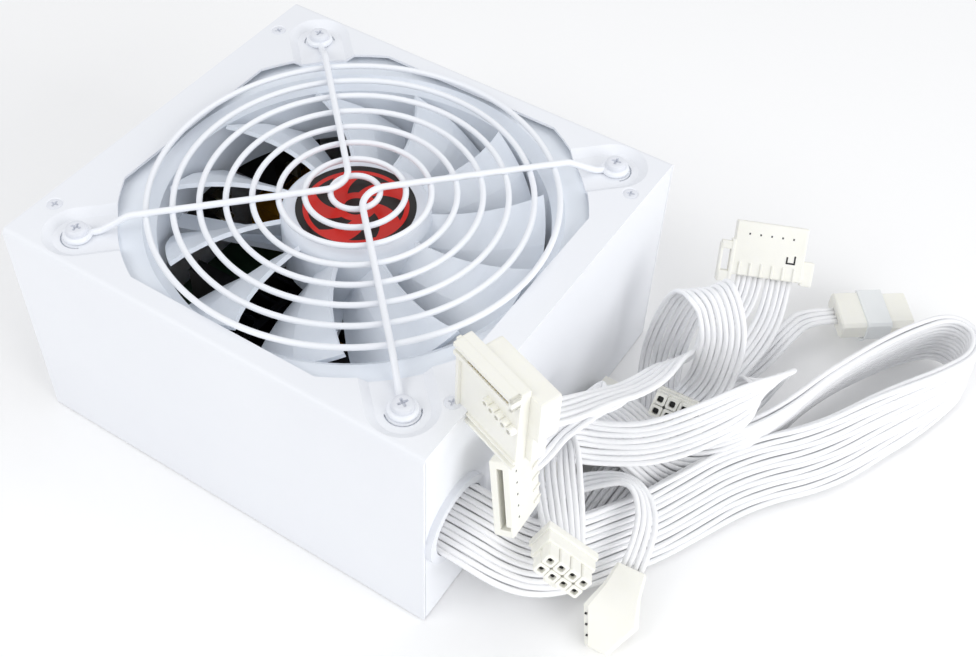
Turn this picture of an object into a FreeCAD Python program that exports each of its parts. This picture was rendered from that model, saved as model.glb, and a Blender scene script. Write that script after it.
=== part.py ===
import FreeCAD, Part
import math
import os
import re

from FreeCAD import Placement, Rotation, Vector

# Desktop power supply in the standard 150 x 86 mm case, fan on top, cables out of the +X face.
# Origin: centre of the case's underside. +Z up, +X out of the cable panel, +Y along the width.

SIZES = [
    ("case_depth", 160.0),
    ("case_width", 150.0),
    ("case_height", 86.0),
    ("sheet_metal", 1.0),
    ("fold_radius", 2.0),
    ("cover_gap", 0.2),
    ("seat_gap", 0.15),
    ("cover_screw_inset", 5.0),
    ("cover_screw_front", 53.0),
    ("cover_screw_rear", 57.0),
    ("cover_screw_head", 5.5),
    ("cover_screw_shank", 3.0),
    ("cover_screw_length", 6.0),
    ("tab_length", 9.0),
    ("tab_reach", 8.5),
    ("fan_size", 140.0),
    ("fan_depth", 25.0),
    ("fan_hole_pitch", 124.5),
    ("fan_centre_x", 2.0),
    ("fan_corner_radius", 7.0),
    ("flange_thickness", 3.6),
    ("duct_radius", 64.5),
    ("duct_wall", 3.0),
    ("duct_flare", 4.0),
    ("fan_screw_head", 7.0),
    ("fan_screw_head_height", 2.0),
    ("fan_screw_shank", 4.0),
    ("fan_screw_length", 12.0),
    ("pad_drop", 2.2),
    ("pad_radius", 8.0),
    ("pad_slope", 3.0),
    ("slit_radius", 5.4),
    ("slit_width", 0.5),
    ("opening_radius", 76.0),
    ("opening_half_side", 67.5),
    ("ring_count", 8),
    ("ring_first", 8.0),
    ("ring_step", 8.35),
    ("ring_wire", 2.0),
    ("ring_rise", 2.2),
    ("arm_wire", 2.2),
    ("arm_bend", 5.0),
    ("arm_turn", 9.0),
    ("arm_tip_gap", 1.0),
    ("weld_sink", 0.3),
    ("eyelet_radius", 3.6),
    ("hub_radius", 25.0),
    ("hub_wall", 1.6),
    ("hub_edge", 3.0),
    ("hub_below_rim", 0.8),
    ("sticker_radius", 19.8),
    ("sticker_thickness", 0.3),
    ("blade_count", 11),
    ("blade_tip_radius", 62.5),
    ("blade_thickness", 1.6),
    ("blade_camber", 1.4),
    ("blade_high", 2.6),
    ("blade_low", 4.6),
    ("blade_first_angle", -68.0),
    ("blade_spread", 29.0),
    ("blade_sweep", 12.0),
    ("strut_count", 4),
    ("strut_width", 7.0),
    ("motor_plate_radius", 23.0),
    ("motor_plate_thickness", 2.6),
    ("shaft_radius", 1.5),
    ("shaft_clearance", 0.05),
    ("bearing_radius", 4.5),
    ("running_gap", 0.6),
    ("magnet_thickness", 2.6),
    ("magnet_height", 12.0),
    ("stator_height", 10.0),
    ("stator_poles", 4),
    ("vent_across_flats", 6.0),
    ("vent_pitch", 7.4),
    ("inlet_width", 27.0),
    ("inlet_tall", 20.0),
    ("inlet_deep", 22.0),
    ("inlet_flange_width", 50.0),
    ("inlet_flange_tall", 23.0),
    ("inlet_flange", 2.0),
    ("inlet_screw_pitch", 40.0),
    ("inlet_centre_y", 42.0),
    ("inlet_centre_z", 46.0),
    ("socket_width", 24.0),
    ("socket_tall", 16.4),
    ("socket_deep", 19.0),
    ("pin_recess", 4.6),
    ("switch_centre_y", 3.0),
    ("switch_width", 13.8),
    ("switch_tall", 19.2),
    ("switch_deep", 15.0),
    ("switch_flange", 2.0),
    ("switch_rim", 1.2),
    ("window_width", 10.4),
    ("window_tall", 16.4),
    ("rocker_width", 9.6),
    ("rocker_half", 7.2),
    ("rocker_rise", 3.4),
    ("rocker_tilt", 10.0),
    ("rocker_pin_radius", 1.2),
    ("mount_hole_radius", 1.6),
    ("mount_edge", 6.0),
    ("mount_drop", 64.0),
    ("mount_shift", 24.0),
    ("outlet_y", -59.0),
    ("outlet_z", 40.0),
    ("outlet_hole", 12.4),
    ("outlet_body", 13.3),
    ("outlet_flange", 15.4),
    ("outlet_flange_thickness", 2.2),
    ("outlet_tilt", 34.0),
    ("wire_pitch", 2.0),
    ("layer_step", 2.4),
    ("board_rise", 7.0),
    ("board_thickness", 1.6),
    ("board_length", 150.0),
    ("board_width", 138.0),
    ("board_hole_inset", 6.0),
    ("standoff_radius", 3.0),
    ("insulator_thickness", 0.5),
    ("lining_length", 150.0),
    ("lining_width", 140.0),
    ("board_screw", 3.0),
    ("board_screw_head", 1.8),
    ("board_screw_length", 5.0),
    ("socket_corner", 4.0),
    ("pin_thick", 2.0),
    ("pin_tall", 4.0),
    ("pin_spread", 7.0),
    ("pin_offset", 2.0),
    ("tag_length", 6.0),
    ("inlet_screw", 3.0),
    ("inlet_screw_length", 8.0),
    ("nut_thickness", 2.4),
    ("rocker_depth", 0.5),
    ("rocker_pin_span", 12.4),
    ("outlet_snap", 2.2),
    ("outlet_lip", 1.1),
    ("sink_thickness", 3.0),
    ("sink_top", 56.0),
    ("sink_fins", 15),
    ("fin_thickness", 1.4),
    ("fin_reach", 12.0),
    ("fin_tall", 20.0),
    ("primary_sink_x", -8.0),
    ("secondary_sink_x", 45.0),
    ("package_thick", 4.6),
    ("package_wide", 10.2),
    ("package_low", 22.0),
    ("package_tall", 19.0),
    ("leg_thick", 0.9),
    ("leg_pitch", 2.54),
    ("choke_turns", 22),
    ("turn_wire", 2.0),
    ("can_edge", 1.2),
    ("main_transformer_x", 19.0),
    ("wire", 2.0),
    ("main_width", 24.0),
    ("main_thickness", 4.0),
    ("eight_width", 16.0),
    ("five_width", 10.0),
    ("four_width", 8.0),
    ("ribbon_gap", 0.6),
    ("pin_pitch", 4.2),
    ("plug_wall", 1.2),
    ("plug_depth", 14.0),
    ("plug_thick", 9.0),
    ("plug_rim", 3.0),
    ("latch_start", 2.0),
    ("latch_short", 2.0),
    ("latch_width", 5.0),
    ("latch_rise", 1.8),
    ("latch_sink", 0.5),
    ("cavity_side", 3.2),
    ("cavity_depth", 9.0),
    ("sata_width", 26.0),
    ("sata_depth", 20.0),
    ("sata_thick", 6.4),
    ("sata_slot_width", 21.0),
    ("sata_slot_depth", 8.0),
    ("sata_slot_thick", 2.0),
    ("sata_key", 2.4),
    ("upper_plug_depth", 6.4),
    ("drive_width", 19.0),
    ("drive_depth", 28.0),
    ("drive_thick", 8.0),
    ("drive_chamfer", 2.2),
    ("drive_cavity", 3.2),
    ("drive_cavity_depth", 9.0),
    ("drive_pitch", 4.4),
]

doc = FreeCAD.newDocument("power_supply")
sheet = doc.addObject("Spreadsheet::Sheet", "Sizes")
for row, (alias, value) in enumerate(SIZES, start=1):
    sheet.set(f"A{row}", alias)
    sheet.set(f"B{row}", str(value))
    sheet.setAlias(f"B{row}", alias)
doc.recompute()
V = {alias: float(sheet.get(alias)) for alias, _ in SIZES}
NAMES = re.compile(r"\b(" + "|".join(alias for alias, _ in SIZES) + r")\b")
parts = []


def sized(expression):
    """An expression on the sheet's sizes, with their plain names."""
    return NAMES.sub(r"Sizes.\1", str(expression))


def bind(obj, bindings):
    for prop, expression in bindings.items():
        obj.setExpression(prop, sized(expression))


def block(label, x, y, z):
    """A box from low to high along each axis, each end an expression."""
    obj = doc.addObject("Part::Box", label)
    for side, axis, (low, high) in zip(("Length", "Width", "Height"), "xyz", (x, y, z)):
        bind(obj, {side: f"({high}) - ({low})", f"Placement.Base.{axis}": low})
    return obj


TURNS = {
    "z": Rotation(),
    "x": Rotation(Vector(0, 1, 0), 90),
    "-x": Rotation(Vector(0, 1, 0), -90),
    "y": Rotation(Vector(1, 0, 0), -90),
}


def place(obj, at, axis):
    obj.Placement = Placement(Vector(), TURNS[axis])
    for name, expression in zip("xyz", at):
        bind(obj, {f"Placement.Base.{name}": expression})


def rod(label, radius, length, at, axis="z"):
    """A cylinder that starts at a point and runs along an axis."""
    obj = doc.addObject("Part::Cylinder", label)
    bind(obj, {"Radius": radius, "Height": length})
    place(obj, at, axis)
    return obj


def cone(label, first, last, length, at, axis="z"):
    obj = doc.addObject("Part::Cone", label)
    bind(obj, {"Radius1": first, "Radius2": last, "Height": length})
    place(obj, at, axis)
    return obj


def fuse(label, *shapes):
    obj = doc.addObject("Part::MultiFuse", label)
    obj.Shapes = list(shapes)
    obj.Refine = True
    return obj


def cut(label, base, *tools):
    obj = doc.addObject("Part::Cut", label)
    obj.Base = base
    obj.Tool = tools[0] if len(tools) == 1 else fuse(label + "_tools", *tools)
    obj.Refine = True
    return obj


def group(label, *shapes):
    obj = doc.addObject("Part::Compound", label)
    obj.Links = list(shapes)
    return obj


def made(label, shape, placement=None):
    """A form set with Part's own functions."""
    obj = doc.addObject("Part::Feature", label)
    obj.Shape = shape
    if placement:
        obj.Placement = placement
    return obj


def keep(obj):
    """Marks an object as one of the product's pieces."""
    parts.append(obj)
    return obj


# Case

SEAT = "seat_gap"
HALF_X = "case_depth / 2"
HALF_Y = "case_width / 2"
INNER_Y = "(case_width / 2 - sheet_metal - cover_gap)"
PANEL_TOP = "(case_height - sheet_metal)"
FAN_TOP = "(case_height - sheet_metal - pad_drop)"
FAN_BOTTOM = "(case_height - sheet_metal - pad_drop - fan_depth)"
FAN_TOP_Z = V["case_height"] - V["sheet_metal"] - V["pad_drop"]
FAN_BOTTOM_Z = FAN_TOP_Z - V["fan_depth"]
PAD_TOP_Z = FAN_TOP_Z + V["sheet_metal"]
FAN_HOLES = [(sx, sy) for sx in (-1, 1) for sy in (-1, 1)]


def fan_hole(sx, sy):
    """Place of a fan screw, as expressions."""
    return f"fan_centre_x + {sx} * fan_hole_pitch / 2", f"{sy} * fan_hole_pitch / 2"


def cover_screw_places():
    for side, distance in ((1, "cover_screw_front"), (-1, "cover_screw_rear")):
        for sy in (-1, 1):
            yield f"{side} * (case_depth / 2 - cover_screw_inset)", f"{sy} * {distance}"


def rectangle_sketch(body, name, role, low, high):
    """A rectangle whose four sides are bound to the sheet."""
    sketch = body.newObject("Sketcher::SketchObject", name)
    plane = [f for f in body.Origin.OriginFeatures if f.Role == role][0]
    sketch.AttachmentSupport = [(plane, "")]
    sketch.MapMode = "FlatFace"
    corners = [Vector(-1, -1, 0), Vector(1, -1, 0), Vector(1, 1, 0), Vector(-1, 1, 0)]
    for start, end in zip(corners, corners[1:] + corners[:1]):
        sketch.addGeometry(Part.LineSegment(start, end))
    import Sketcher

    for line in range(4):
        sketch.addConstraint(Sketcher.Constraint("Coincident", line, 2, (line + 1) % 4, 1))
    for line in (0, 2):
        sketch.addConstraint(Sketcher.Constraint("Horizontal", line))
    for line in (1, 3):
        sketch.addConstraint(Sketcher.Constraint("Vertical", line))
    for kind, line, value, expression in (
        ("DistanceX", 0, -1.0, low[0]),
        ("DistanceY", 0, -1.0, low[1]),
        ("DistanceX", 2, 1.0, high[0]),
        ("DistanceY", 2, 1.0, high[1]),
    ):
        index = sketch.addConstraint(Sketcher.Constraint(kind, -1, 1, line, 1, value))
        sketch.setExpression(f"Constraints[{index}]", sized(expression))
    return sketch


def cover_shell():
    """The folded cover: a top and two sides, bent at the two long edges."""
    body = doc.addObject("PartDesign::Body", "cover_fold")
    outline = rectangle_sketch(
        body, "cover_outline", "YZ_Plane", ("-case_width / 2", "0"), ("case_width / 2", "case_height")
    )
    pad = body.newObject("PartDesign::Pad", "cover_length")
    pad.Profile = outline
    pad.Midplane = True
    pad.setExpression("Length", sized("case_depth"))
    doc.recompute()
    top_edges = [
        f"Edge{i}"
        for i, edge in enumerate(pad.Shape.Edges, start=1)
        if abs(edge.CenterOfMass.z - V["case_height"]) < 1e-6 and abs(edge.CenterOfMass.x) < 1e-6
    ]
    fillet = body.newObject("PartDesign::Fillet", "cover_bend")
    fillet.Base = (pad, top_edges)
    fillet.setExpression("Radius", sized("fold_radius"))
    inside = rectangle_sketch(
        body,
        "cover_inside",
        "YZ_Plane",
        ("-case_width / 2 + sheet_metal", "-sheet_metal"),
        ("case_width / 2 - sheet_metal", "case_height - sheet_metal"),
    )
    doc.recompute()
    before = fillet.Shape.Volume
    hollow = body.newObject("PartDesign::Pocket", "cover_hollow")
    hollow.Profile = inside
    hollow.Midplane = True
    hollow.Type = "Length"
    hollow.setExpression("Length", sized("case_depth + 2 * sheet_metal"))
    doc.recompute()
    if hollow.Shape.Volume > 0.5 * before:
        raise ValueError("the cover's pocket cut nothing")
    return body


def trough(top_offset, wider=0):
    """The pressed pad round one fan screw, open towards the fan: wider at the top than at its floor."""
    drop = V["pad_drop"]
    low = V["pad_radius"] + wider
    high = low + V["pad_slope"]
    reach = V["pad_radius"] * 2.5

    def slot(radius, z):
        start = Vector(0, radius, z)
        far = Vector(0, -radius, z)
        arc = Part.Arc(start, Vector(radius, 0, z), far).toShape()
        inner = Vector(-reach, -radius, z)
        outer = Vector(-reach, radius, z)
        lines = [(far, inner), (inner, outer), (outer, start)]
        return Part.Wire([arc] + [Part.LineSegment(a, b).toShape() for a, b in lines])

    floor = PAD_TOP_Z - V["sheet_metal"] + top_offset
    return Part.makeLoft([slot(low, floor), slot(high, floor + drop)], True, True)


def at_fan_holes(shape):
    """A copy of a shape at each fan screw, its +X side away from the fan."""
    copies = []
    for sx, sy in FAN_HOLES:
        angle = math.degrees(math.atan2(sy, sx))
        half = V["fan_hole_pitch"] / 2
        move = Vector(V["fan_centre_x"] + sx * half, sy * half, 0)
        copy = shape.copy()
        copy.Placement = Placement(move, Rotation(Vector(0, 0, 1), angle))
        copies.append(copy)
    return Part.makeCompound(copies)


def slit():
    """Half ring sheared through the sheet on the outer side of the screw."""
    outer = V["slit_radius"] + V["slit_width"] / 2
    inner = V["slit_radius"] - V["slit_width"] / 2
    depth = 2 * V["pad_drop"] + V["sheet_metal"]
    start = Vector(0, 0, FAN_TOP_Z - V["pad_drop"] / 2)
    up = Vector(0, 0, 1)
    ring = Part.makeCylinder(outer, depth, start, up).cut(Part.makeCylinder(inner, depth, start, up))
    half = Part.makeBox(outer, 2 * outer, depth, start + Vector(0, -outer, 0))
    return ring.common(half)


def top_cover():
    reach = "(opening_half_side)"
    fan_x = "fan_centre_x"
    round_part = rod(
        "opening_round", "opening_radius", "3 * fold_radius + 2 * pad_drop", (fan_x, 0, f"{FAN_TOP} - pad_drop")
    )
    square_part = block(
        "opening_square",
        (f"{fan_x} - {reach}", f"{fan_x} + {reach}"),
        (f"-{reach}", reach),
        (f"{FAN_TOP} - 2 * pad_drop", "case_height + 2 * fold_radius"),
    )
    opening = doc.addObject("Part::Common", "opening")
    opening.Base = round_part
    opening.Tool = square_part
    pressed = made("pad_space", at_fan_holes(trough(V["sheet_metal"])))
    sheet_in_pad = made("pad_sheet", at_fan_holes(trough(0).cut(trough(V["sheet_metal"]))))
    flat = cut("cover_without_pads", cover_shell(), pressed)
    shaped = fuse("cover_with_pads", flat, sheet_in_pad)
    tools = [opening, made("slits", at_fan_holes(slit()))]
    for number, (sx, sy) in enumerate(FAN_HOLES):
        x, y = fan_hole(sx, sy)
        tools.append(
            rod(f"fan_screw_hole_{number}", "fan_screw_shank / 2 + 0.3", 10, (x, y, f"{FAN_TOP} - pad_drop"))
        )
    for number, (x, y) in enumerate(cover_screw_places()):
        tools.append(
            cone(
                f"countersink_{number}",
                "cover_screw_shank / 2 + 0.1",
                "cover_screw_head / 2 + 0.1",
                "sheet_metal + 0.01",
                (x, y, PANEL_TOP),
            )
        )
    return keep(cut("top_cover", shaped, *tools))


def hexagon(across, length, y, z):
    """A six-sided hole through the rear panel."""
    radius = across / math.sqrt(3)
    x = -V["case_depth"] / 2 - length / 2
    points = [
        Vector(x, y + radius * math.sin(math.radians(60 * i)), z + radius * math.cos(math.radians(60 * i)))
        for i in range(7)
    ]
    return Part.Face(Part.makePolygon(points)).extrude(Vector(length, 0, 0))


def vent_holes():
    """Honeycomb over what the inlet, the switch and the mounting holes leave of the rear panel."""
    pitch = V["vent_pitch"]
    row_step = pitch * math.sqrt(3) / 2
    edge = 2 * V["mount_edge"]
    half = V["case_width"] / 2 - edge
    low = edge
    high = V["case_height"] - edge
    inlet_side = V["switch_centre_y"] - V["switch_width"] / 2 - V["vent_pitch"]
    rows = int((high - low) / row_step) + 1
    columns = int((half + inlet_side) / pitch)
    holes = []
    for row in range(rows):
        for column in range(columns):
            y = -half + column * pitch + (pitch / 2 if row % 2 else 0)
            z = low + row * row_step
            if y < inlet_side:
                holes.append(hexagon(V["vent_across_flats"], 3 * V["sheet_metal"], y, z))
    return Part.makeCompound(holes)


MOUNT_HOLES = [
    ("case_width / 2 - mount_edge", "case_height - mount_edge"),
    ("-case_width / 2 + mount_edge", "case_height - mount_edge"),
    ("case_width / 2 - mount_edge", "case_height - mount_edge - mount_drop"),
    ("-case_width / 2 + mount_edge + mount_shift", "mount_edge"),
]


def base_tray():
    """Floor with the rear and cable panels folded up from it, and four screw tabs folded in."""
    rear = f"-{HALF_X}"
    solids = [
        block("tray_floor", (rear, HALF_X), (f"-{INNER_Y}", INNER_Y), (0, "sheet_metal")),
        block("rear_panel", (rear, f"{rear} + sheet_metal"), (f"-{INNER_Y}", INNER_Y), (0, PANEL_TOP)),
        block("cable_panel", (f"{HALF_X} - sheet_metal", HALF_X), (f"-{INNER_Y}", INNER_Y), (0, PANEL_TOP)),
    ]
    tools = [made("vent_holes", vent_holes()), made("pad_relief", at_fan_holes(trough(0, 2 * V["seat_gap"])))]
    for number, (x, y) in enumerate(cover_screw_places()):
        side = 1 if number < 2 else -1
        ends = (f"{side} * (case_depth / 2 - tab_reach)", f"{side} * (case_depth / 2 - sheet_metal / 2)")
        solids.append(
            block(
                f"tab_{number}",
                ends if side > 0 else ends[::-1],
                (f"{y} - tab_length / 2", f"{y} + tab_length / 2"),
                (f"{PANEL_TOP} - sheet_metal", PANEL_TOP),
            )
        )
        tools.append(
            rod(
                f"tab_hole_{number}",
                "cover_screw_shank / 2 + 0.5",
                "3 * sheet_metal",
                (x, y, f"{PANEL_TOP} - 2 * sheet_metal"),
            )
        )
    for number, (y, z) in enumerate(MOUNT_HOLES):
        tools.append(
            rod(f"mount_hole_{number}", "mount_hole_radius", "3 * sheet_metal", (f"{rear} - sheet_metal", y, z), "x")
        )
    tools.append(
        block(
            "inlet_cutout",
            (f"{rear} - 1", f"{rear} + 2"),
            (f"inlet_centre_y - inlet_width / 2 - {SEAT}", f"inlet_centre_y + inlet_width / 2 + {SEAT}"),
            (f"inlet_centre_z - inlet_tall / 2 - {SEAT}", f"inlet_centre_z + inlet_tall / 2 + {SEAT}"),
        )
    )
    for number, sy in enumerate((-1, 1)):
        tools.append(
            rod(
                f"inlet_screw_hole_{number}",
                "1.6",
                3,
                (f"{rear} - 1", f"inlet_centre_y + {sy} * inlet_screw_pitch / 2", "inlet_centre_z"),
                "x",
            )
        )
    tools.append(
        block(
            "switch_cutout",
            (f"{rear} - 1", f"{rear} + 2"),
            (f"switch_centre_y - switch_width / 2 - {SEAT}", f"switch_centre_y + switch_width / 2 + {SEAT}"),
            (f"inlet_centre_z - switch_tall / 2 - {SEAT}", f"inlet_centre_z + switch_tall / 2 + {SEAT}"),
        )
    )
    tools.append(
        rod("outlet_cutout", "outlet_body + 0.1", "3 * sheet_metal", (f"{HALF_X} - 2 * sheet_metal", "outlet_y", "outlet_z"), "x")
    )
    return keep(cut("base_tray", fuse("tray_sheet", *solids), *tools))



# Fan


def fan_frame():
    """Two square flanges on a round duct, with the motor plate on struts at the inner side."""
    half = "fan_size / 2"
    x_range = (f"fan_centre_x - {half}", f"fan_centre_x + {half}")
    y_range = (f"-{half}", half)
    centre = "fan_centre_x"
    flanges = []
    for name, low in (("lower", FAN_BOTTOM), ("upper", f"{FAN_TOP} - flange_thickness")):
        plate = block(f"{name}_flange_square", x_range, y_range, (low, f"{low} + flange_thickness"))
        rounding = rod(f"{name}_flange_round", "fan_size / sqrt(2) - fan_corner_radius * (sqrt(2) - 1)",
                       "flange_thickness", (centre, 0, low))
        flange = doc.addObject("Part::Common", f"{name}_flange")
        flange.Base = plate
        flange.Tool = rounding
        flanges.append(flange)
    solids = flanges + [rod("duct_outside", "duct_radius + duct_wall", "fan_depth", (centre, 0, FAN_BOTTOM))]
    tools = [rod("duct_bore", "duct_radius", "fan_depth + 2", (centre, 0, f"{FAN_BOTTOM} - 1"))]
    tools.append(cone("duct_mouth", "duct_radius", "duct_radius + duct_flare + 0.4",
                      "duct_flare + 0.4", (centre, 0, f"{FAN_TOP} - duct_flare")))
    for number, (sx, sy) in enumerate(FAN_HOLES):
        x, y = fan_hole(sx, sy)
        tools.append(rod(f"frame_hole_{number}", "fan_screw_shank / 2 + seat_gap", "fan_depth + 2",
                         (x, y, f"{FAN_BOTTOM} - 1")))
    ring = cut("duct_frame", fuse("duct_outer", *solids), *tools)
    motor = [rod("motor_plate", "motor_plate_radius", "motor_plate_thickness", (centre, 0, FAN_BOTTOM)),
             rod("bearing_tube", "bearing_radius", "fan_depth - 6", (centre, 0, FAN_BOTTOM))]
    count = int(V["strut_count"])
    struts = []
    for number in range(count):
        angle = math.radians(360 * number / count + 20)
        length = V["duct_radius"] + V["duct_wall"] / 2
        bar = Part.makeBox(length, V["strut_width"], V["motor_plate_thickness"],
                           Vector(0, -V["strut_width"] / 2, 0))
        bar.Placement = Placement(Vector(V["fan_centre_x"], 0, FAN_BOTTOM_Z),
                                  Rotation(Vector(0, 0, 1), math.degrees(angle)))
        struts.append(bar)
    spider = made("struts", struts[0].multiFuse(struts[1:]))
    bore = rod("bearing_bore", "shaft_radius + shaft_clearance", "fan_depth", (centre, 0, f"{FAN_BOTTOM} + 1"))
    return keep(cut("fan_frame", fuse("fan_moulding", ring, spider, *motor), bore))


def blade(index):
    """One sickle blade: high at its leading edge, low at its trailing edge, swept forward to the tip."""
    steps = 6
    inner = V["hub_radius"] - V["hub_wall"] / 2
    start = inner - 2 * V["hub_wall"]
    top = FAN_TOP_Z - V["blade_high"]
    bottom = FAN_BOTTOM_Z + V["blade_low"]
    half = V["blade_thickness"] / 2
    bulge = V["blade_camber"]
    sections = []
    for step in range(steps + 1):
        share = step / steps
        distance = start + (V["blade_tip_radius"] - start) * share
        lead = math.radians(V["blade_first_angle"] + V["blade_sweep"] * share ** 1.6)
        trail = math.radians(V["blade_first_angle"] - V["blade_spread"] + V["blade_sweep"] * share)
        middle = (lead + trail) / 2
        outward = Vector(math.cos(middle), math.sin(middle), 0)
        along = Vector(-math.sin(middle), math.cos(middle), 0)
        reach = distance * math.tan((lead - trail) / 2)
        chord = (along * (2 * reach) + Vector(0, 0, top - bottom)).normalize()
        normal = outward.cross(chord)
        if normal.z < 0:
            normal = -normal
        centre = Vector(V["fan_centre_x"], 0, (top + bottom) / 2) + outward * distance
        high = centre + along * reach + Vector(0, 0, (top - bottom) / 2)
        low = centre - along * reach - Vector(0, 0, (top - bottom) / 2)
        ring = [high + normal * half, centre + normal * (half + bulge), low + normal * half,
                low - normal * half, centre + normal * (bulge - half), high - normal * half]
        sections.append(Part.makePolygon(ring + ring[:1]))
    shape = Part.makeLoft(sections, True, True)
    foot = Vector(V["fan_centre_x"], 0, FAN_BOTTOM_Z)
    ring = Part.makeCylinder(V["blade_tip_radius"], V["fan_depth"], foot)
    ring = ring.cut(Part.makeCylinder(inner, V["fan_depth"], foot))
    return shape.common(ring).rotated(Vector(V["fan_centre_x"], 0, 0), Vector(0, 0, 1), index * 360 / V["blade_count"])


def fan_rotor():
    """Cup-shaped hub with its blades in one moulding."""
    centre = "fan_centre_x"
    low = f"({FAN_BOTTOM} + motor_plate_thickness + running_gap)"
    top = f"({FAN_TOP} - hub_below_rim)"
    cup = rod("hub_outside", "hub_radius", f"{top} - {low}", (centre, 0, low))
    doc.recompute()
    rounded = doc.addObject("Part::Fillet", "hub_rounded")
    rounded.Base = cup
    edge = [i for i, e in enumerate(cup.Shape.Edges, start=1)
            if e.Curve.TypeId == "Part::GeomCircle" and e.CenterOfMass.z > FAN_BOTTOM_Z + V["fan_depth"] / 2]
    rounded.Edges = [(i, V["hub_edge"], V["hub_edge"]) for i in edge]
    inside = rod("hub_inside", "hub_radius - hub_wall", f"{top} - {low} - hub_edge + 1", (centre, 0, f"{low} - 1"))
    seat = rod("sticker_seat", "sticker_radius + 0.1", 2, (centre, 0, f"{top} - sticker_thickness"))
    hub = cut("hub_cup", rounded, inside, seat)
    blades = [blade(index) for index in range(int(V["blade_count"]))]
    vanes = made("blades", Part.makeCompound(blades))
    keep(fuse("fan_rotor", hub, vanes))
    keep(rod("hub_sticker", "sticker_radius", "sticker_thickness", (centre, 0, f"{top} - sticker_thickness")))
    roof = f"({top} - hub_edge)"
    keep(rod("rotor_shaft", "shaft_radius", f"{roof} - {FAN_BOTTOM} - 1.5", (centre, 0, f"{FAN_BOTTOM} + 1.5")))
    magnet = rod("magnet_outside", "hub_radius - hub_wall - 0.05", "magnet_height", (centre, 0, f"{roof} - magnet_height"))
    hole = rod("magnet_hole", "hub_radius - hub_wall - magnet_thickness", "magnet_height + 2",
               (centre, 0, f"{roof} - magnet_height - 1"))
    keep(cut("rotor_magnet", magnet, hole))
    stator_low = f"({roof} - magnet_height + 0.5)"
    radius = "hub_radius - hub_wall - magnet_thickness - running_gap"
    core = rod("stator_outside", radius, "stator_height", (centre, 0, stator_low))
    poles = int(V["stator_poles"])
    gaps = [rod("stator_bore", "bearing_radius + 0.05", "stator_height + 2", (centre, 0, f"{stator_low} - 1"))]
    for number in range(poles):
        angle = math.radians(360 * (number + 0.5) / poles)
        reach = "(hub_radius * 0.62)"
        gaps.append(rod(f"stator_slot_{number}", "hub_radius * 0.24", "stator_height + 2",
                        (f"{centre} + {reach} * {math.cos(angle):.6f}", f"{reach} * {math.sin(angle):.6f}",
                         f"{stator_low} - 1")))
    keep(cut("fan_stator", core, *gaps))


def pipe(points_and_arcs, radius):
    """A round wire along edges that follow each other smoothly."""
    wire = Part.Wire(points_and_arcs)
    first = wire.OrderedEdges[0]
    start = first.valueAt(first.FirstParameter)
    heading = first.tangentAt(first.FirstParameter)
    if first.Orientation == "Reversed":
        start = first.valueAt(first.LastParameter)
        heading = first.tangentAt(first.LastParameter) * -1
    profile = Part.Wire([Part.makeCircle(radius, start, heading)])
    return wire.makePipeShell([profile], True, False)


def rounded_path(points, radii):
    """Straight runs joined by tangent arcs, one radius for each inner point."""
    edges = []
    last = points[0]
    for before, corner, after, radius in zip(points, points[1:], points[2:], radii):
        inward = (corner - before).normalize()
        outward = (after - corner).normalize()
        turn = inward.getAngle(outward)
        back = radius * math.tan(turn / 2)
        start = corner - inward * back
        end = corner + outward * back
        middle_way = (outward - inward).normalize()
        middle = corner + middle_way * (radius / math.cos(turn / 2) - radius)
        if (start - last).Length > 1e-6:
            edges.append(Part.LineSegment(last, start).toShape())
        edges.append(Part.Arc(start, middle, end).toShape())
        last = end
    edges.append(Part.LineSegment(last, points[-1]).toShape())
    return edges


def fan_grille():
    """Eight rings under two bent wires, welded, each wire ending in an eyelet under a fan screw."""
    cx = V["fan_centre_x"]
    wire = V["ring_wire"] / 2
    arm = V["arm_wire"] / 2
    ring_z = V["case_height"] + V["ring_rise"]
    arm_z = ring_z + wire + arm - V["weld_sink"]
    eye_z = PAD_TOP_Z + arm
    solids = [
        Part.makeTorus(V["ring_first"] + V["ring_step"] * k, wire, Vector(cx, 0, ring_z))
        for k in range(int(V["ring_count"]))
    ]
    hole = V["fan_hole_pitch"] / 2 * math.sqrt(2)
    last_ring = V["ring_first"] + V["ring_step"] * (V["ring_count"] - 1)
    bend_start = last_ring + V["arm_bend"]
    bend_end = hole - V["eyelet_radius"] - V["arm_bend"] * 0.6
    for side in (-1, 1):
        apex = Vector(cx + side * (arm + V["arm_tip_gap"] / 2), 0, arm_z)
        points = []
        for sy in (1, -1):
            way = Vector(side, sy, 0).normalize()
            flat = Vector(cx, 0, 0)
            line = [flat + way * (hole - V["eyelet_radius"]) + Vector(0, 0, eye_z),
                    flat + way * bend_end + Vector(0, 0, eye_z),
                    flat + way * bend_start + Vector(0, 0, arm_z)]
            points.append(line)
        route = points[0] + [apex] + points[1][::-1]
        bends = [V["arm_bend"]] * 2 + [V["arm_turn"]] + [V["arm_bend"]] * 2
        solids.append(pipe(rounded_path(route, bends), arm))
        for sy in (1, -1):
            way = Vector(side, sy, 0).normalize()
            solids.append(Part.makeTorus(V["eyelet_radius"], arm, Vector(cx, 0, eye_z) + way * hole))
    return keep(made("fan_grille", solids[0].multiFuse(solids[1:])))


def screws(label, places, head, head_height, shank, length, top):
    """A set of pan-head screws that stand on one level."""
    shapes = []
    for number, (x, y) in enumerate(places):
        shapes.append(fuse(
            f"{label}_{number}",
            rod(f"{label}_head_{number}", head, head_height, (x, y, top)),
            rod(f"{label}_shank_{number}", shank, f"({length}) + 0.1", (x, y, f"{top} - ({length})")),
        ))
    return keep(group(label, *shapes))


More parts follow.
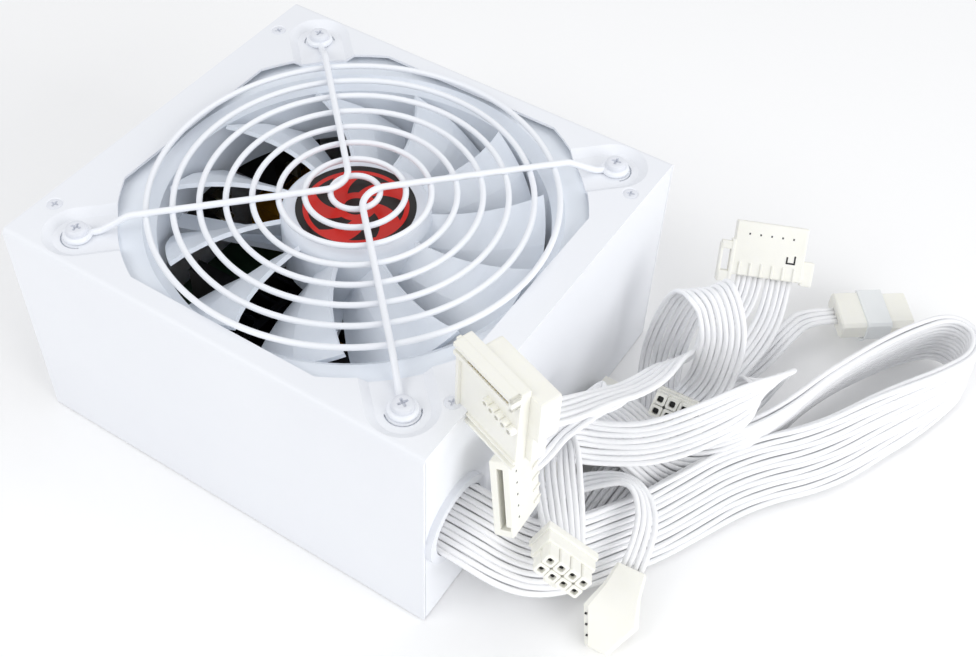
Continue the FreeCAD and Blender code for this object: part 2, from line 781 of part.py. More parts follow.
def cover_screws():
    shapes = []
    for number, (x, y) in enumerate(cover_screw_places()):
        shapes.append(fuse(
            f"cover_screw_{number}",
            cone(f"cover_screw_cone_{number}", "cover_screw_shank / 2", "cover_screw_head / 2", "sheet_metal",
                 (x, y, PANEL_TOP)),
            rod(f"cover_screw_stem_{number}", "cover_screw_shank / 2", "cover_screw_length",
                (x, y, f"{PANEL_TOP} + 0.1 - cover_screw_length")),
        ))
    return keep(group("cover_screws", *shapes))

# Rear panel fittings

REAR = f"-{HALF_X}"


def around(centre, half):
    """Both ends of a span about a centre, as expressions."""
    return f"{centre} - {half}", f"{centre} + {half}"


def mains_inlet():
    """Three-pin inlet with its flange outside the rear panel."""
    y = "inlet_centre_y"
    z = "inlet_centre_z"
    flange = block(
        "inlet_flange_plate",
        (f"{REAR} - inlet_flange", REAR),
        around(y, "inlet_flange_width / 2"),
        around(z, "inlet_flange_tall / 2"),
    )
    body = block(
        "inlet_body",
        (REAR, f"{REAR} + inlet_deep"),
        around(y, "inlet_width / 2"),
        around(z, "inlet_tall / 2"),
    )
    mouth = block(
        "inlet_mouth",
        (f"{REAR} - inlet_flange - 1", f"{REAR} - inlet_flange + socket_deep"),
        around(y, "socket_width / 2"),
        around(z, "socket_tall / 2"),
    )
    tools = []
    doc.recompute()
    shaped = doc.addObject("Part::Chamfer", "inlet_mouth_shaped")
    shaped.Base = mouth
    top = V["inlet_centre_z"] + V["socket_tall"] / 2
    upper = [
        number
        for number, edge in enumerate(mouth.Shape.Edges, start=1)
        if abs(edge.CenterOfMass.z - top) < 1e-6 and abs(edge.tangentAt(edge.FirstParameter).x) > 0.9
    ]
    shaped.Edges = [(number, V["socket_corner"], V["socket_corner"]) for number in upper]
    tools.append(shaped)
    pins = []
    for number, (dy, dz) in enumerate(PIN_PLACES):
        span = (f"{REAR} - inlet_flange + pin_recess", f"{REAR} + inlet_deep + tag_length")
        for name, group_of in (("pin", pins), ("pin_slot", tools)):
            group_of.append(
                block(
                    f"inlet_{name}_{number}",
                    span,
                    around(f"{y} + {dy}", "pin_thick / 2"),
                    around(f"{z} + {dz}", "pin_tall / 2"),
                )
            )
    screw_shapes = []
    for number, side in enumerate((-1, 1)):
        at_y = f"{y} + {side} * inlet_screw_pitch / 2"
        face = f"{REAR} - inlet_flange"
        tools.append(rod(f"inlet_hole_{number}", "inlet_screw / 2 + seat_gap", "2 * inlet_flange", (f"{face} - 1", at_y, z), "x"))
        tools.append(
            cone(f"inlet_sink_{number}", "inlet_screw + 0.1", "inlet_screw / 2 + 0.1", "inlet_screw / 2", (face, at_y, z), "x")
        )
        nut = cut(
            f"inlet_nut_{number}",
            rod(f"inlet_nut_body_{number}", "inlet_screw", "nut_thickness", (f"{REAR} + sheet_metal", at_y, z), "x"),
            rod(f"inlet_nut_bore_{number}", "inlet_screw / 2 + 0.05", 10, (f"{REAR} - 1", at_y, z), "x"),
        )
        screw_shapes.append(nut)
        screw_shapes.append(
            fuse(
                f"inlet_screw_{number}",
                cone(f"inlet_screw_cone_{number}", "inlet_screw", "inlet_screw / 2", "inlet_screw / 2", (face, at_y, z), "x"),
                rod(f"inlet_screw_stem_{number}", "inlet_screw / 2", "inlet_screw_length", (f"{face} + 0.3", at_y, z), "x"),
            )
        )
    keep(cut("inlet_housing", fuse("inlet_solid", flange, body), *tools))
    keep(group("inlet_pins", *pins))
    keep(group("inlet_screws", *screw_shapes))


def mains_switch():
    """Rocker switch snapped into the rear panel, its rocker on two pins."""
    y = "switch_centre_y"
    z = "inlet_centre_z"
    flange = block(
        "switch_flange_plate",
        (f"{REAR} - switch_flange", REAR),
        around(y, "(switch_width / 2 + switch_rim)"),
        around(z, "(switch_tall / 2 + switch_rim)"),
    )
    body = block(
        "switch_body", (REAR, f"{REAR} + switch_deep"), around(y, "switch_width / 2"), around(z, "switch_tall / 2")
    )
    window = block(
        "switch_window",
        (f"{REAR} - switch_flange - 1", f"{REAR} + switch_deep - 3"),
        around(y, "window_width / 2"),
        around(z, "window_tall / 2"),
    )
    pivot_x = f"{REAR} + rocker_depth"
    bore = rod(
        "switch_pin_bore", "rocker_pin_radius + 0.05", "rocker_pin_span + 0.4", (pivot_x, f"{y} - rocker_pin_span / 2 - 0.2", z), "y"
    )
    keep(cut("switch_housing", fuse("switch_solid", flange, body), window, bore))
    tags = [
        block(
            f"switch_tag_{number}",
            (f"{REAR} + switch_deep", f"{REAR} + switch_deep + tag_length"),
            around(y, "pin_tall / 2"),
            around(f"{z} + {side} * switch_tall / 4", "pin_thick / 4"),
        )
        for number, side in enumerate((-1, 1))
    ]
    keep(group("switch_terminals", *tags))
    outline = [(-V["rocker_rise"], 1), (1.0, 1), (4.0, 0.45), (4.0, -0.45), (1.0, -1), (-V["rocker_rise"], -1), (-1.6, 0)]
    points = [Vector(x, -V["rocker_width"] / 2, share * V["rocker_half"]) for x, share in outline]
    wedge = Part.Face(Part.makePolygon(points + points[:1])).extrude(Vector(0, V["rocker_width"], 0))
    pin = Part.makeCylinder(
        V["rocker_pin_radius"], V["rocker_pin_span"], Vector(0, -V["rocker_pin_span"] / 2, 0), Vector(0, 1, 0)
    )
    pivot = Vector(-V["case_depth"] / 2 + V["rocker_depth"], V["switch_centre_y"], V["inlet_centre_z"])
    keep(made("switch_rocker", wedge.fuse(pin), Placement(pivot, Rotation(Vector(0, 1, 0), V["rocker_tilt"]))))


PIN_PLACES = [("-pin_spread", "-pin_offset"), ("pin_spread", "-pin_offset"), ("0", "pin_offset")]


# Cable outlet


def cable_grommet():
    panel = HALF_X
    ring = [
        rod("grommet_flange", "outlet_flange", "outlet_flange_thickness", (panel, "outlet_y", "outlet_z"), "x"),
        rod("grommet_body", "outlet_body", "outlet_snap + sheet_metal", (f"{panel} - sheet_metal - outlet_snap", "outlet_y", "outlet_z"), "x"),
        rod("grommet_snap", "outlet_body + outlet_lip", "outlet_snap", (f"{panel} - sheet_metal - outlet_snap", "outlet_y", "outlet_z"), "x"),
    ]
    doc.recompute()
    solid = fuse("grommet_solid", *ring)
    hole = rod("grommet_hole", "outlet_hole", 20, (f"{panel} - 10", "outlet_y", "outlet_z"), "x")
    keep(cut("cable_grommet", solid, hole))


# Inside the case

BOARD_TOP = "(board_rise + board_thickness)"
BOARD_TOP_Z = V["board_rise"] + V["board_thickness"]


def board_corners():
    for sx in (-1, 1):
        for sy in (-1, 1):
            yield f"{sx} * (board_length / 2 - board_hole_inset)", f"{sy} * (board_width / 2 - board_hole_inset)"


def board_and_supports():
    plate = block("board_plate", around("0", "board_length / 2"), around("0", "board_width / 2"), ("board_rise", BOARD_TOP))
    lining = block("lining_plate", around("0", "lining_length / 2"), around("0", "lining_width / 2"),
                   ("sheet_metal", "sheet_metal + insulator_thickness"))
    board_tools = []
    lining_tools = []
    posts = []
    for number, (x, y) in enumerate(board_corners()):
        board_tools.append(rod(f"board_hole_{number}", "board_screw / 2 + 0.1", 10, (x, y, "board_rise - 5")))
        lining_tools.append(rod(f"lining_hole_{number}", "standoff_radius + 0.5", 10, (x, y, "-5")))
        post = rod(f"standoff_{number}", "standoff_radius", "board_rise - sheet_metal", (x, y, "sheet_metal"))
        posts.append(cut(f"standoff_bored_{number}", post,
                         rod(f"standoff_bore_{number}", "board_screw / 2 + 0.05", 10, (x, y, "sheet_metal + 1"))))
    keep(cut("circuit_board", plate, *board_tools))
    keep(cut("insulating_sheet", lining, *lining_tools))
    keep(group("board_standoffs", *posts))
    screws("board_screws", list(board_corners()), "board_screw", "board_screw_head", "board_screw / 2",
           "board_screw_length", BOARD_TOP)


def heatsink(label, x, y, side):
    """An upright plate along Y whose upper half carries fins towards one side."""
    low, high = y
    plate = block(f"{label}_plate", around(x, "sink_thickness / 2"), y, (BOARD_TOP, "sink_top"))
    count = int(V["sink_fins"])
    fins = []
    for number in range(count):
        at = f"({low}) + fin_thickness / 2 + ({high} - ({low}) - fin_thickness) * {number} / {count - 1}"
        near = f"{x} + {side} * sink_thickness / 2"
        far = f"{x} + {side} * (sink_thickness / 2 + fin_reach)"
        fins.append(
            block(
                f"{label}_fin_{number}",
                (near, far) if side > 0 else (far, near),
                around(at, "fin_thickness / 2"),
                ("sink_top - fin_tall", "sink_top"),
            )
        )
    return keep(fuse(label, plate, *fins))


def transistors():
    """Packages flat against the two heatsink plates, on three legs each."""
    shapes = []
    for side, x in ((1, "primary_sink_x"), (-1, "secondary_sink_x")):
        face = f"({x} + {side} * sink_thickness / 2)"
        for place_y in TRANSISTOR_PLACES:
            name = f"transistor_{len(shapes)}"
            ends = (face, f"{face} + {side} * package_thick")
            body = block(f"{name}_body", ends if side > 0 else ends[::-1], around(f"{place_y}", "package_wide / 2"),
                         ("package_low", "package_low + package_tall"))
            legs = [
                block(f"{name}_leg_{leg}", around(f"{face} + {side} * package_thick / 2", "leg_thick / 2"),
                      around(f"{place_y} + {leg} * leg_pitch", "leg_thick / 2"), (BOARD_TOP, "package_low + 0.1"))
                for leg in (-1, 0, 1)
            ]
            shapes.append(fuse(name, body, *legs))
    keep(group("power_transistors", *shapes))


TRANSISTOR_PLACES = [-38, -22, -6]


def toroid(label, ring, wire, x, y):
    """A wound ring core that lies on the board: the winding's turns as a scalloped ring."""
    turns = int(V["choke_turns"])
    core = Part.makeTorus(ring, wire - V["turn_wire"] / 2, Vector(0, 0, 0))
    coils = []
    for number in range(turns):
        angle = 360 * number / turns
        coil = Part.makeTorus(wire - V["turn_wire"] / 4, V["turn_wire"] / 2, Vector(ring, 0, 0), Vector(0, 1, 0))
        coils.append(coil.rotated(Vector(0, 0, 0), Vector(0, 0, 1), angle))
    return core.multiFuse(coils)


def capacitor(label, radius, height, x, y):
    """A can on the board with its rolled edge and rounded top."""
    can = rod(label + "_can", radius, height, (x, y, BOARD_TOP))
    doc.recompute()
    rounded = doc.addObject("Part::Fillet", label)
    rounded.Base = can
    top = BOARD_TOP_Z + 1
    edges = [
        number
        for number, edge in enumerate(can.Shape.Edges, start=1)
        if edge.Curve.TypeId == "Part::GeomCircle" and edge.CenterOfMass.z > top
    ]
    rounded.Edges = [(number, V["can_edge"], V["can_edge"]) for number in edges]
    return rounded


def transformer(label, core, bobbin, x, y):
    """An E core round a wound bobbin: the winding stands out on two sides of the core."""
    core_x, core_y, core_z = core
    core_block = block(f"{label}_core_block", around(x, f"{core_x} / 2"), around(y, f"{core_y} / 2"), (BOARD_TOP, f"{BOARD_TOP} + {core_z}"))
    window = f"{core_x} * 0.62"
    space = block(f"{label}_space", around(x, f"{window} / 2"), around(y, f"{core_y}"),
                  (f"{BOARD_TOP} + {core_z} * 0.16", f"{BOARD_TOP} + {core_z} * 0.84"))
    keep(cut(f"{label}_core", core_block, space))
    keep(block(f"{label}_winding", around(x, f"({window} / 2 - 0.1)"), around(y, f"{bobbin} / 2"),
               (f"{BOARD_TOP} + {core_z} * 0.16", f"{BOARD_TOP} + {core_z} * 0.84")))


def components():
    heatsink("primary_heatsink", "primary_sink_x", ("-56", "14"), -1)
    heatsink("secondary_heatsink", "secondary_sink_x", ("-48", "22"), 1)
    transistors()
    transformer("main_transformer", ("34", "26", "36"), "38", "main_transformer_x", "-40")
    transformer("standby_transformer", ("20", "14", "19"), "20", "main_transformer_x", "0")
    keep(capacitor("bulk_capacitor", "14", "44", "-24", "44"))
    group_of = [
        capacitor(f"output_capacitor_{number}", "5", "22", "66", f"{-32 + 14 * number}")
        for number in range(6)
    ]
    keep(group("output_capacitors", *group_of))
    small = [
        block(f"filter_box_{number}", around(x, "13"), around(y, "6"), (BOARD_TOP, f"{BOARD_TOP} + 17"))
        for number, (x, y) in enumerate((("-58", "52"), ("-58", "32")))
    ]
    keep(group("filter_capacitors", *small))
    lift = BOARD_TOP_Z + 6.6
    keep(made("output_choke", toroid("output_choke", 12, 6, 0, 0), Placement(Vector(14, 44, lift), Rotation())))
    keep(made("filter_choke", toroid("filter_choke", 10, 6, 0, 0), Placement(Vector(-56, -44, lift), Rotation())))
    keep(block("bridge_rectifier", around("-50", "14"), around("-14", "3"), (BOARD_TOP, f"{BOARD_TOP} + 20")))
    keep(block("control_board", around("37", "0.8"), around("48", "17"), (BOARD_TOP, f"{BOARD_TOP} + 26")))


# Cables

ARC_SHARE = 0.45
ARC_STEP = 15.0
RECTANGLE = ((-1, -1), (1, -1), (1, 1), (-1, 1))
# Centre, facing direction and radius along the wires inside the case
BUNDLE = (
    ((53, -59.5, 8.75), (0, 0, 1), 6.5),
    ((54, -60, 20), (0.25, 0, 1), 8),
    ((60, -60.5, 32), (0.8, 0, 0.7), 9.5),
    ((69, -59.8, 39), (1, 0.1, 0.2), 11),
    ((77, -59, 40), (1, 0, 0), 11.9),
)
# Each flat cable's width and thickness, then its points: x, y, z, and the heading and rise of its side
RIBBONS = {
    "main_cable": ("main_width", "main_thickness", [
        (77, -59.6, 40.9, 90, 34),
        (89, -59.6, 40.9, 90, 33),
        (99.6, -56.2, 32.8, 99, 20),
        (105.9, -46.6, 21.1, 112, 28),
        (112.3, -34, 14.1, 122, 38),
        (118.7, -20.9, 10.6, 133, 42),
        (126.8, -8.2, 10, 139, 42),
        (133.3, 5.9, 10.1, 143, 42),
        (139.9, 21, 10.2, 146, 42),
        (148.9, 34, 10.3, 146, 42),
        (158, 44, 10.5, 146, 44),
        (166, 56, 10.8, 146, 48),
        (173, 70, 11.6, 146, 56),
        (180.5, 84, 12.4, 146, 66),
        (187.5, 98, 13, 146, 78),
        (193, 112, 13.5, 146, 86),
        (189, 124, 13.7, 146, 90),
        (178, 125, 14.2, 146, 94),
        (169, 113, 14.8, 146, 98),
        (161.6, 98, 16.1, 146, 100),
        (155.2, 82, 18.2, 146, 102),
        (149.8, 66, 19.8, 146, 102),
        (145.5, 50, 19.5, 146, 100),
        (139.9, 35, 16.8, 140, 85),
        (132.2, 20.9, 13.6, 128, 58),
        (122.6, 14, 13.7, 110, 26),
        (111.6, 12.5, 18.4, 94, 5),
        (101.1, 11, 25.9, 90, 0),
        (89, 11, 28.5, 90, 0),
        (88.5, 10, 16.3, 90, 0),
    ]),
    "eps_cable": ("eight_width", "wire", [
        (77, -57.8, 38.3, 90, 34),
        (88.1, -57.8, 38.3, 90, 33),
        (96.2, -53.4, 30.1, 98, 34),
        (102.7, -44.3, 19.1, 112, 37),
        (109.6, -32, 11.9, 122, 40),
        (109, -12.4, 9.8, 160, 24),
        (110.3, 7.5, 10.6, 190, 0),
        (116.7, 28.3, 10.5, 198, 0),
        (126.8, 45.2, 16.9, 200, 0),
        (134.8, 55.1, 28.9, 212, -10),
        (140.9, 47.1, 41, 230, -30),
        (139, 31.1, 45, 265, -45),
        (130.1, 15.2, 42.2, 292, -55),
        (117.2, 2.3, 36.3, 305, -60),
        (103.4, -6.5, 35.6, 305, -60),
        (93.7, -13, 39.1, 285, -48),
        (94, -22.6, 42.7, 230, -20),
        (110.8, -43.4, 34.7, 187.5, 29.4),
        (112.8, -47.4, 36.2, 187.5, 29.4),
    ]),
    "pcie_cable": ("eight_width", "wire", [
        (77, -56.5, 36.3, 90, 34),
        (87.1, -56.5, 36.3, 90, 33),
        (94, -53, 28.9, 98, 34),
        (100.4, -44.4, 18, 112, 37),
        (107.5, -32, 11.1, 122, 40),
        (107, -10.8, 7.7, 162, 22),
        (108.6, 11.2, 8, 190, 0),
        (107.5, 31.3, 8.3, 192, 0),
        (97.9, 48.7, 16.4, 202, -25),
        (98.5, 53.5, 36.4, 205, -25),
        (103.8, 54.8, 57.2, 205, -25),
        (112.5, 48.7, 63.9, 205, -25),
        (119.3, 46.1, 51.1, 202, 0),
        (120, 44.9, 37.9, 192, 0),
        (118.9, 42.9, 25.4, 180, 0),
        (115, 37.2, 18, 168, 0),
        (116.5, 26.3, 28.6, -159.9, 16.8),
    ]),
    "sata_cable": ("five_width", "wire", [
        (77, -58.6, 31.9, 90, 34),
        (86, -58.6, 31.9, 90, 33),
        (92.6, -56.6, 24.9, 98, 34),
        (99.9, -47.7, 13.4, 112, 37),
        (107.7, -34.4, 5.1, 122, 40),
        (109.3, -12.2, 4.1, 165, 18),
        (111.1, 8.8, 4.5, 190, 0),
        (112.7, 29.8, 4.6, 190, 0),
        (116, 47.8, 7.2, 190, 0),
        (119.9, 62.7, 12.6, 190, 0),
        (122.8, 77.5, 17.5, 192, 0),
        (122.4, 92.3, 21.8, 203, -0.1),
        (119.4, 99.4, 31.1, 203, -0.1),
    ]),
    "sata_link": ("five_width", "wire", [
        (109.6, 95.2, 31.1, 23, 0.1),
        (112.6, 88.2, 21.8, 23, 0.1),
        (106.3, 74.6, 17.9, 20, 5),
        (110.1, 62.1, 20.7, 12, 35),
        (108.9, 48.9, 30.5, 5, 74),
        (107.9, 31.8, 43.2, 15, 40),
        (109.5, 13.6, 54.2, 20, 0),
        (108.7, -4.6, 65.2, 20, 0),
        (106.9, -20.7, 77.2, 10, 0),
        (104.9, -43.7, 93, -19.9, 0),
        (101.5, -53.1, 98.7, -19.9, 0),
    ]),
    "sata_tail": ("five_width", "wire", [
        (91, -50.3, 92.8, -19.9, 0),
        (94.3, -41.3, 91.2, -19.9, 0),
        (98.9, -34.1, 79.9, -5, 0),
        (102.9, -20.1, 68.9, 5, 0),
        (104, -6.1, 58.9, 12, 0),
        (102, 3, 54, 15, 0),
        (97, -3, 49, 12, 0),
        (94, -15, 49.5, 8, 0),
        (93, -27, 53, 0, 0),
        (94.5, -40.5, 57, -15, -75),
    ]),
    "drive_cable": ("four_width", "wire", [
        (77, -50.8, 37.2, 90, 34),
        (86.2, -50.8, 37.2, 90, 33),
        (91.4, -47.4, 30.6, 98, 34),
        (96.2, -40.1, 19.6, 112, 37),
        (99.8, -25.6, 7.9, 140, 30),
        (100, -8.9, 4.3, 175, 8),
        (100.6, 9.1, 3.8, 190, 0),
        (101.7, 28.1, 3.8, 190, 0),
        (108.5, 44.1, 2.2, 190, 0),
        (117.7, 60.1, 2.6, 185, 0),
        (125.8, 76.1, 8.7, 175, 5),
        (129.9, 92, 16.9, 155, 25),
        (132, 107, 12, 126.9, -0),
        (140.8, 113.6, 12, 126.9, -0),
    ]),
    "peripheral_cable": ("four_width", "wire", [
        (77, -53.8, 32.3, 90, 34),
        (85.1, -53.8, 32.3, 90, 33),
        (90, -52, 26.3, 98, 34),
        (89.3, -37, 16.8, 125, 35),
        (90.4, -26, 18.9, 150, 10),
        (97.9, -16.5, 19.5, 140, 0),
        (106, -10, 22.5, 115, -10),
        (114.5, -6, 25, 95, -30),
        (122, -9, 24, 55, -25),
        (128.7, -18.6, 21.3, 20, -5),
        (129.7, -30, 15.2, 20.1, 0),
    ]),
}


def unit(vector):
    return vector * (1 / vector.Length)


def heading(turn, rise):
    """The direction with a compass turn from +X and a rise from level, in degrees."""
    turn = math.radians(turn)
    rise = math.radians(rise)
    return Vector(math.cos(turn) * math.cos(rise), math.sin(turn) * math.cos(rise), math.sin(rise))


def centreline(points):
    """Straight runs joined by tangent arcs: places with their share of the way through the points."""
    stations = [(points[0], 0.0)]
    radii = []
    for number in range(1, len(points) - 1):
        before = points[number] - points[number - 1]
        after = points[number + 1] - points[number]
        turn = before.getAngle(after)
        tangent = ARC_SHARE * min(before.Length, after.Length)
        radius = tangent / math.tan(turn / 2)
        radii.append(radius)
        along = unit(before)
        inward = unit(after - along * after.dot(along))
        start = points[number] - along * tangent
        steps = max(2, math.ceil(math.degrees(turn) / ARC_STEP))
        for step in range(steps + 1):
            angle = turn * step / steps
            place = start + along * (radius * math.sin(angle)) + inward * (radius * (1 - math.cos(angle)))
            stations.append((place, number - 0.5 + step / steps))
    stations.append((points[-1], len(points) - 1.0))
    return stations, radii


def ribbon_frames(route):
    """Place, direction, side and face of a flat cable at each station."""
    sides = [heading(*row[3:]) for row in route]
    stations, radii = centreline([Vector(*row[:3]) for row in route])
    places = [place for place, _ in stations]
    frames = []
    for number, (place, share) in enumerate(stations):
        along = unit(places[min(number + 1, len(places) - 1)] - places[max(number - 1, 0)])
        low = min(int(share), len(sides) - 2)
        side = sides[low] * (low + 1 - share) + sides[low + 1] * (share - low)
        side = unit(side - along * side.dot(along))
        frames.append((place, along, side, along.cross(side)))
    return frames, radii


def flat(*corners):
    return Part.Face(Part.makePolygon(list(corners) + [corners[0]]))


def band(before, after):
    """The facets between two outlines with the same number of corners."""
    facets = []
    for number in range(len(before)):
        following = (number + 1) % len(before)
        facets.append(flat(before[number], before[following], after[number]))
        facets.append(flat(before[following], after[following], after[number]))
    return facets


def ribbon(label):
    """A flat cable: its rectangle carried along the centreline. Prints its length and bends."""
    width_name, thickness_name, route = RIBBONS[label]
    width = V[width_name]
    thickness = V[thickness_name]
    frames, radii = ribbon_frames(route)
    outlines = []
    for place, _, side, face in frames:
        corners = [place + side * (a * width / 2) + face * (b * thickness / 2) for a, b in RECTANGLE]
        outlines.append(corners)
    shell = Part.Compound([facet for ring in zip(outlines, outlines[1:]) for facet in band(*ring)]
                          + [flat(*outlines[0]), flat(*outlines[-1])])
    shell.sewShape()
    solid = Part.makeSolid(shell)
    if solid.Volume < 0:
        solid.reverse()
    keep(made(label, solid))
    length = sum((after[0] - before[0]).Length for before, after in zip(frames, frames[1:]))
    expected = length * width * thickness
    print(f"{label} length {length:.0f} radii {[round(radius, 1) for radius in radii]}"
          f" volume {parts[-1].Shape.Volume:.0f} of {expected:.0f}")


def end_placement(label, last=True, along_side=0.0, flip=False):
    """A frame at a cable's end: x out of the cable, y along its side."""
    frames, _ = ribbon_frames(RIBBONS[label][2])
    place, along, side, face = frames[-1] if last else frames[0]
    out = along if last else along * -1
    across = side * -1 if flip else side
    up = out.cross(across)
    matrix = FreeCAD.Matrix(
        out.x, across.x, up.x, place.x + across.x * along_side,
        out.y, across.y, up.y, place.y + across.y * along_side,
        out.z, across.z, up.z, place.z + across.z * along_side,
        0, 0, 0, 1,
    )
    return Placement(matrix)


def socket_plug(label, columns, placement):
    """A two-row plug with square cavities and a latch along one side."""
    width = f"({columns} * pin_pitch + plug_wall)"
    body = block(label + "_body", ("0", "plug_depth"), around("0", f"{width} / 2"), around("0", "plug_thick / 2"))
    rim = block(
        label + "_rim",
        ("0", "plug_rim"),
        around("0", f"({width} + plug_wall) / 2"),
        around("0", "(plug_thick + plug_wall) / 2"),
    )
    latch = block(
        label + "_latch",
        ("latch_start", "plug_depth - latch_short"),
        around("0", "latch_width / 2"),
        ("plug_thick / 2 - latch_sink", "plug_thick / 2 + latch_rise"),
    )
    cavities = [
        block(
            f"{label}_cavity_{number}_{row}",
            ("plug_depth - cavity_depth", "plug_depth + 1"),
            around(f"{number - (columns - 1) / 2} * pin_pitch", "cavity_side / 2"),
            around(f"{row} * pin_pitch / 2", "cavity_side / 2"),
        )
        for number in range(columns)
        for row in (-1, 1)
    ]
    plug = keep(cut(label, fuse(label + "_outside", body, rim, latch), *cavities))
    plug.Placement = placement
    return plug


def data_plug(label, placement, wide="sata_width", deep="sata_depth"):
    """A flat plug with the keyed slot that takes a drive's edge contacts."""
    body = block(label + "_body", ("0", deep), around("0", f"{wide} / 2"), around("0", "sata_thick / 2"))
    slot = block(
        label + "_slot",
        (f"{deep} - sata_slot_depth", f"{deep} + 1"),
        around("0", "sata_slot_width / 2"),
        around("0", "sata_slot_thick / 2"),
    )
    key = block(
        label + "_key",
        (f"{deep} - sata_slot_depth", f"{deep} + 1"),
        ("sata_slot_width / 2 - sata_slot_thick", "sata_slot_width / 2"),
        ("-sata_slot_thick / 2", "sata_key"),
    )
    plug = keep(cut(label, body, slot, key))
    plug.Placement = placement
    return plug


def drive_plug(label, placement):
    """A four-way plug with two chamfered corners and round cavities."""
    outline = [
        Vector(0, -V["drive_width"] / 2, -V["drive_thick"] / 2),
        Vector(0, V["drive_width"] / 2, -V["drive_thick"] / 2),
        Vector(0, V["drive_width"] / 2, V["drive_thick"] / 2 - V["drive_chamfer"]),
        Vector(0, V["drive_width"] / 2 - V["drive_chamfer"], V["drive_thick"] / 2),
        Vector(0, V["drive_chamfer"] - V["drive_width"] / 2, V["drive_thick"] / 2),
        Vector(0, -V["drive_width"] / 2, V["drive_thick"] / 2 - V["drive_chamfer"]),
    ]
    profile = Part.Face(Part.makePolygon(outline + outline[:1]))
    body = made(label + "_body", profile.extrude(Vector(V["drive_depth"], 0, 0)))
    cavities = [
        rod(
            f"{label}_cavity_{number}",
            "drive_cavity / 2",
            "drive_cavity_depth + 1",
            ("drive_depth - drive_cavity_depth", f"{number - 1.5} * drive_pitch", "0"),
            "x",
        )
        for number in range(4)
    ]
    plug = keep(cut(label, body, *cavities))
    plug.Placement = placement
    return plug


def lead_bundle():
    """The wires inside the case: from the board up to the outlet, gathered round."""
    rings = []
    for centre, facing, radius in BUNDLE:
        rings.append(Part.Wire(Part.makeCircle(radius, Vector(*centre), Vector(*facing))))
    keep(made("lead_bundle", Part.makeLoft(rings, True, True)))


def cables():
    lead_bundle()
    for label in RIBBONS:
        ribbon(label)
    socket_plug("main_connector", 12, end_placement("main_cable"))
    socket_plug("eps_connector", 4, end_placement("eps_cable"))
    socket_plug("pcie_connector", 4, end_placement("pcie_cable"))
    beside = (V["five_width"] + V["ribbon_gap"]) / 2
    data_plug("sata_plug_rear", end_placement("sata_cable", along_side=beside))
    data_plug("sata_plug_upper", end_placement("sata_link", along_side=-beside), deep="upper_plug_depth")
    data_plug("sata_plug_lower", end_placement("sata_tail"))
    drive_plug("drive_plug_rear", end_placement("drive_cable"))
    drive_plug("drive_plug_front", end_placement("peripheral_cable"))


base_tray()
top_cover()
mains_inlet()
mains_switch()
cable_grommet()
board_and_supports()
components()
fan_frame()
fan_rotor()
fan_grille()
screws("fan_screws", [fan_hole(sx, sy) for sx, sy in FAN_HOLES], "fan_screw_head / 2", "fan_screw_head_height",
       "fan_screw_shank / 2", "fan_screw_length", f"({FAN_TOP} + sheet_metal + arm_wire)")
cover_screws()
cables()
doc.recompute()
for obj in doc.Objects:
    if {"Invalid", "Error"} & set(obj.State):
        raise ValueError(f"{obj.Label} did not recompute: {obj.getStatusString()}")
for part in parts:
    if part.Shape.isNull() or not part.Shape.isValid():
        raise ValueError(f"{part.Label} has no valid shape")
os.makedirs("parts", exist_ok=True)
for part in parts:
    part.Shape.exportStep(f"parts/{part.Label}.step")
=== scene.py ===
import math

import bmesh
import bpy
from mathutils import Matrix, Vector


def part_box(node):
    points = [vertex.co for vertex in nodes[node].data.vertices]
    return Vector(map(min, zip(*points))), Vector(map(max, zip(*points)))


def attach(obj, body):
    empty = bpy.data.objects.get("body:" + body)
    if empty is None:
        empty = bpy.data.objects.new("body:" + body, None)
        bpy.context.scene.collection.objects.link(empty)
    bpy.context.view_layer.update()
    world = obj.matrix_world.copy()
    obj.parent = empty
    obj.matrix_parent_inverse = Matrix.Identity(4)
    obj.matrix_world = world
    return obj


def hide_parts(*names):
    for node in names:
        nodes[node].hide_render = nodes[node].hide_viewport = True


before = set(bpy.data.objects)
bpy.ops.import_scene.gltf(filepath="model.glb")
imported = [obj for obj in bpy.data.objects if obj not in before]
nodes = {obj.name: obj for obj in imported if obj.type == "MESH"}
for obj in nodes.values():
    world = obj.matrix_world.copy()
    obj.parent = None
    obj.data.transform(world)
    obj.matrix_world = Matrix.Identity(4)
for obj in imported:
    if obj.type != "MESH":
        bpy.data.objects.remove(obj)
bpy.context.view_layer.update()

# Desktop power supply: white steel case, fan under a wire grille, flat white cables with ivory plugs

# A wire's radius, and the distance between neighbours in a flat cable, in metres
WIRE_RADIUS = 0.00098
WIRE_PITCH = 0.002

# How far a wire strays from its place in metres, and its waves across and up: radians per metre, and the
# shift from wire to wire and from layer to layer
UNREST = 0.00012
SWAY = (140, 2.3, 1.1)
LIFT = (90, 1.7, 2.9)

# From a cable's centre line to the line that gives its side, in metres
EDGE_REACH = 0.01

# Between contacts of a two-row plug, and from a data plug's middle to a cable at its side, in millimetres
PIN_PITCH = 4.2
CABLE_OFFSET = 5.3

# Head radius and height, shank radius and length of each kind of screw, in millimetres
FAN_SCREW = (3.5, 2.0, 2.0, 8.0)
COVER_SCREW = (2.75, 1.4, 1.5, 6.0)
COVER_SCREW_PLACES = ((75, 53), (75, -53), (-75, 57), (-75, -57))
SCREW_SIDES = 48

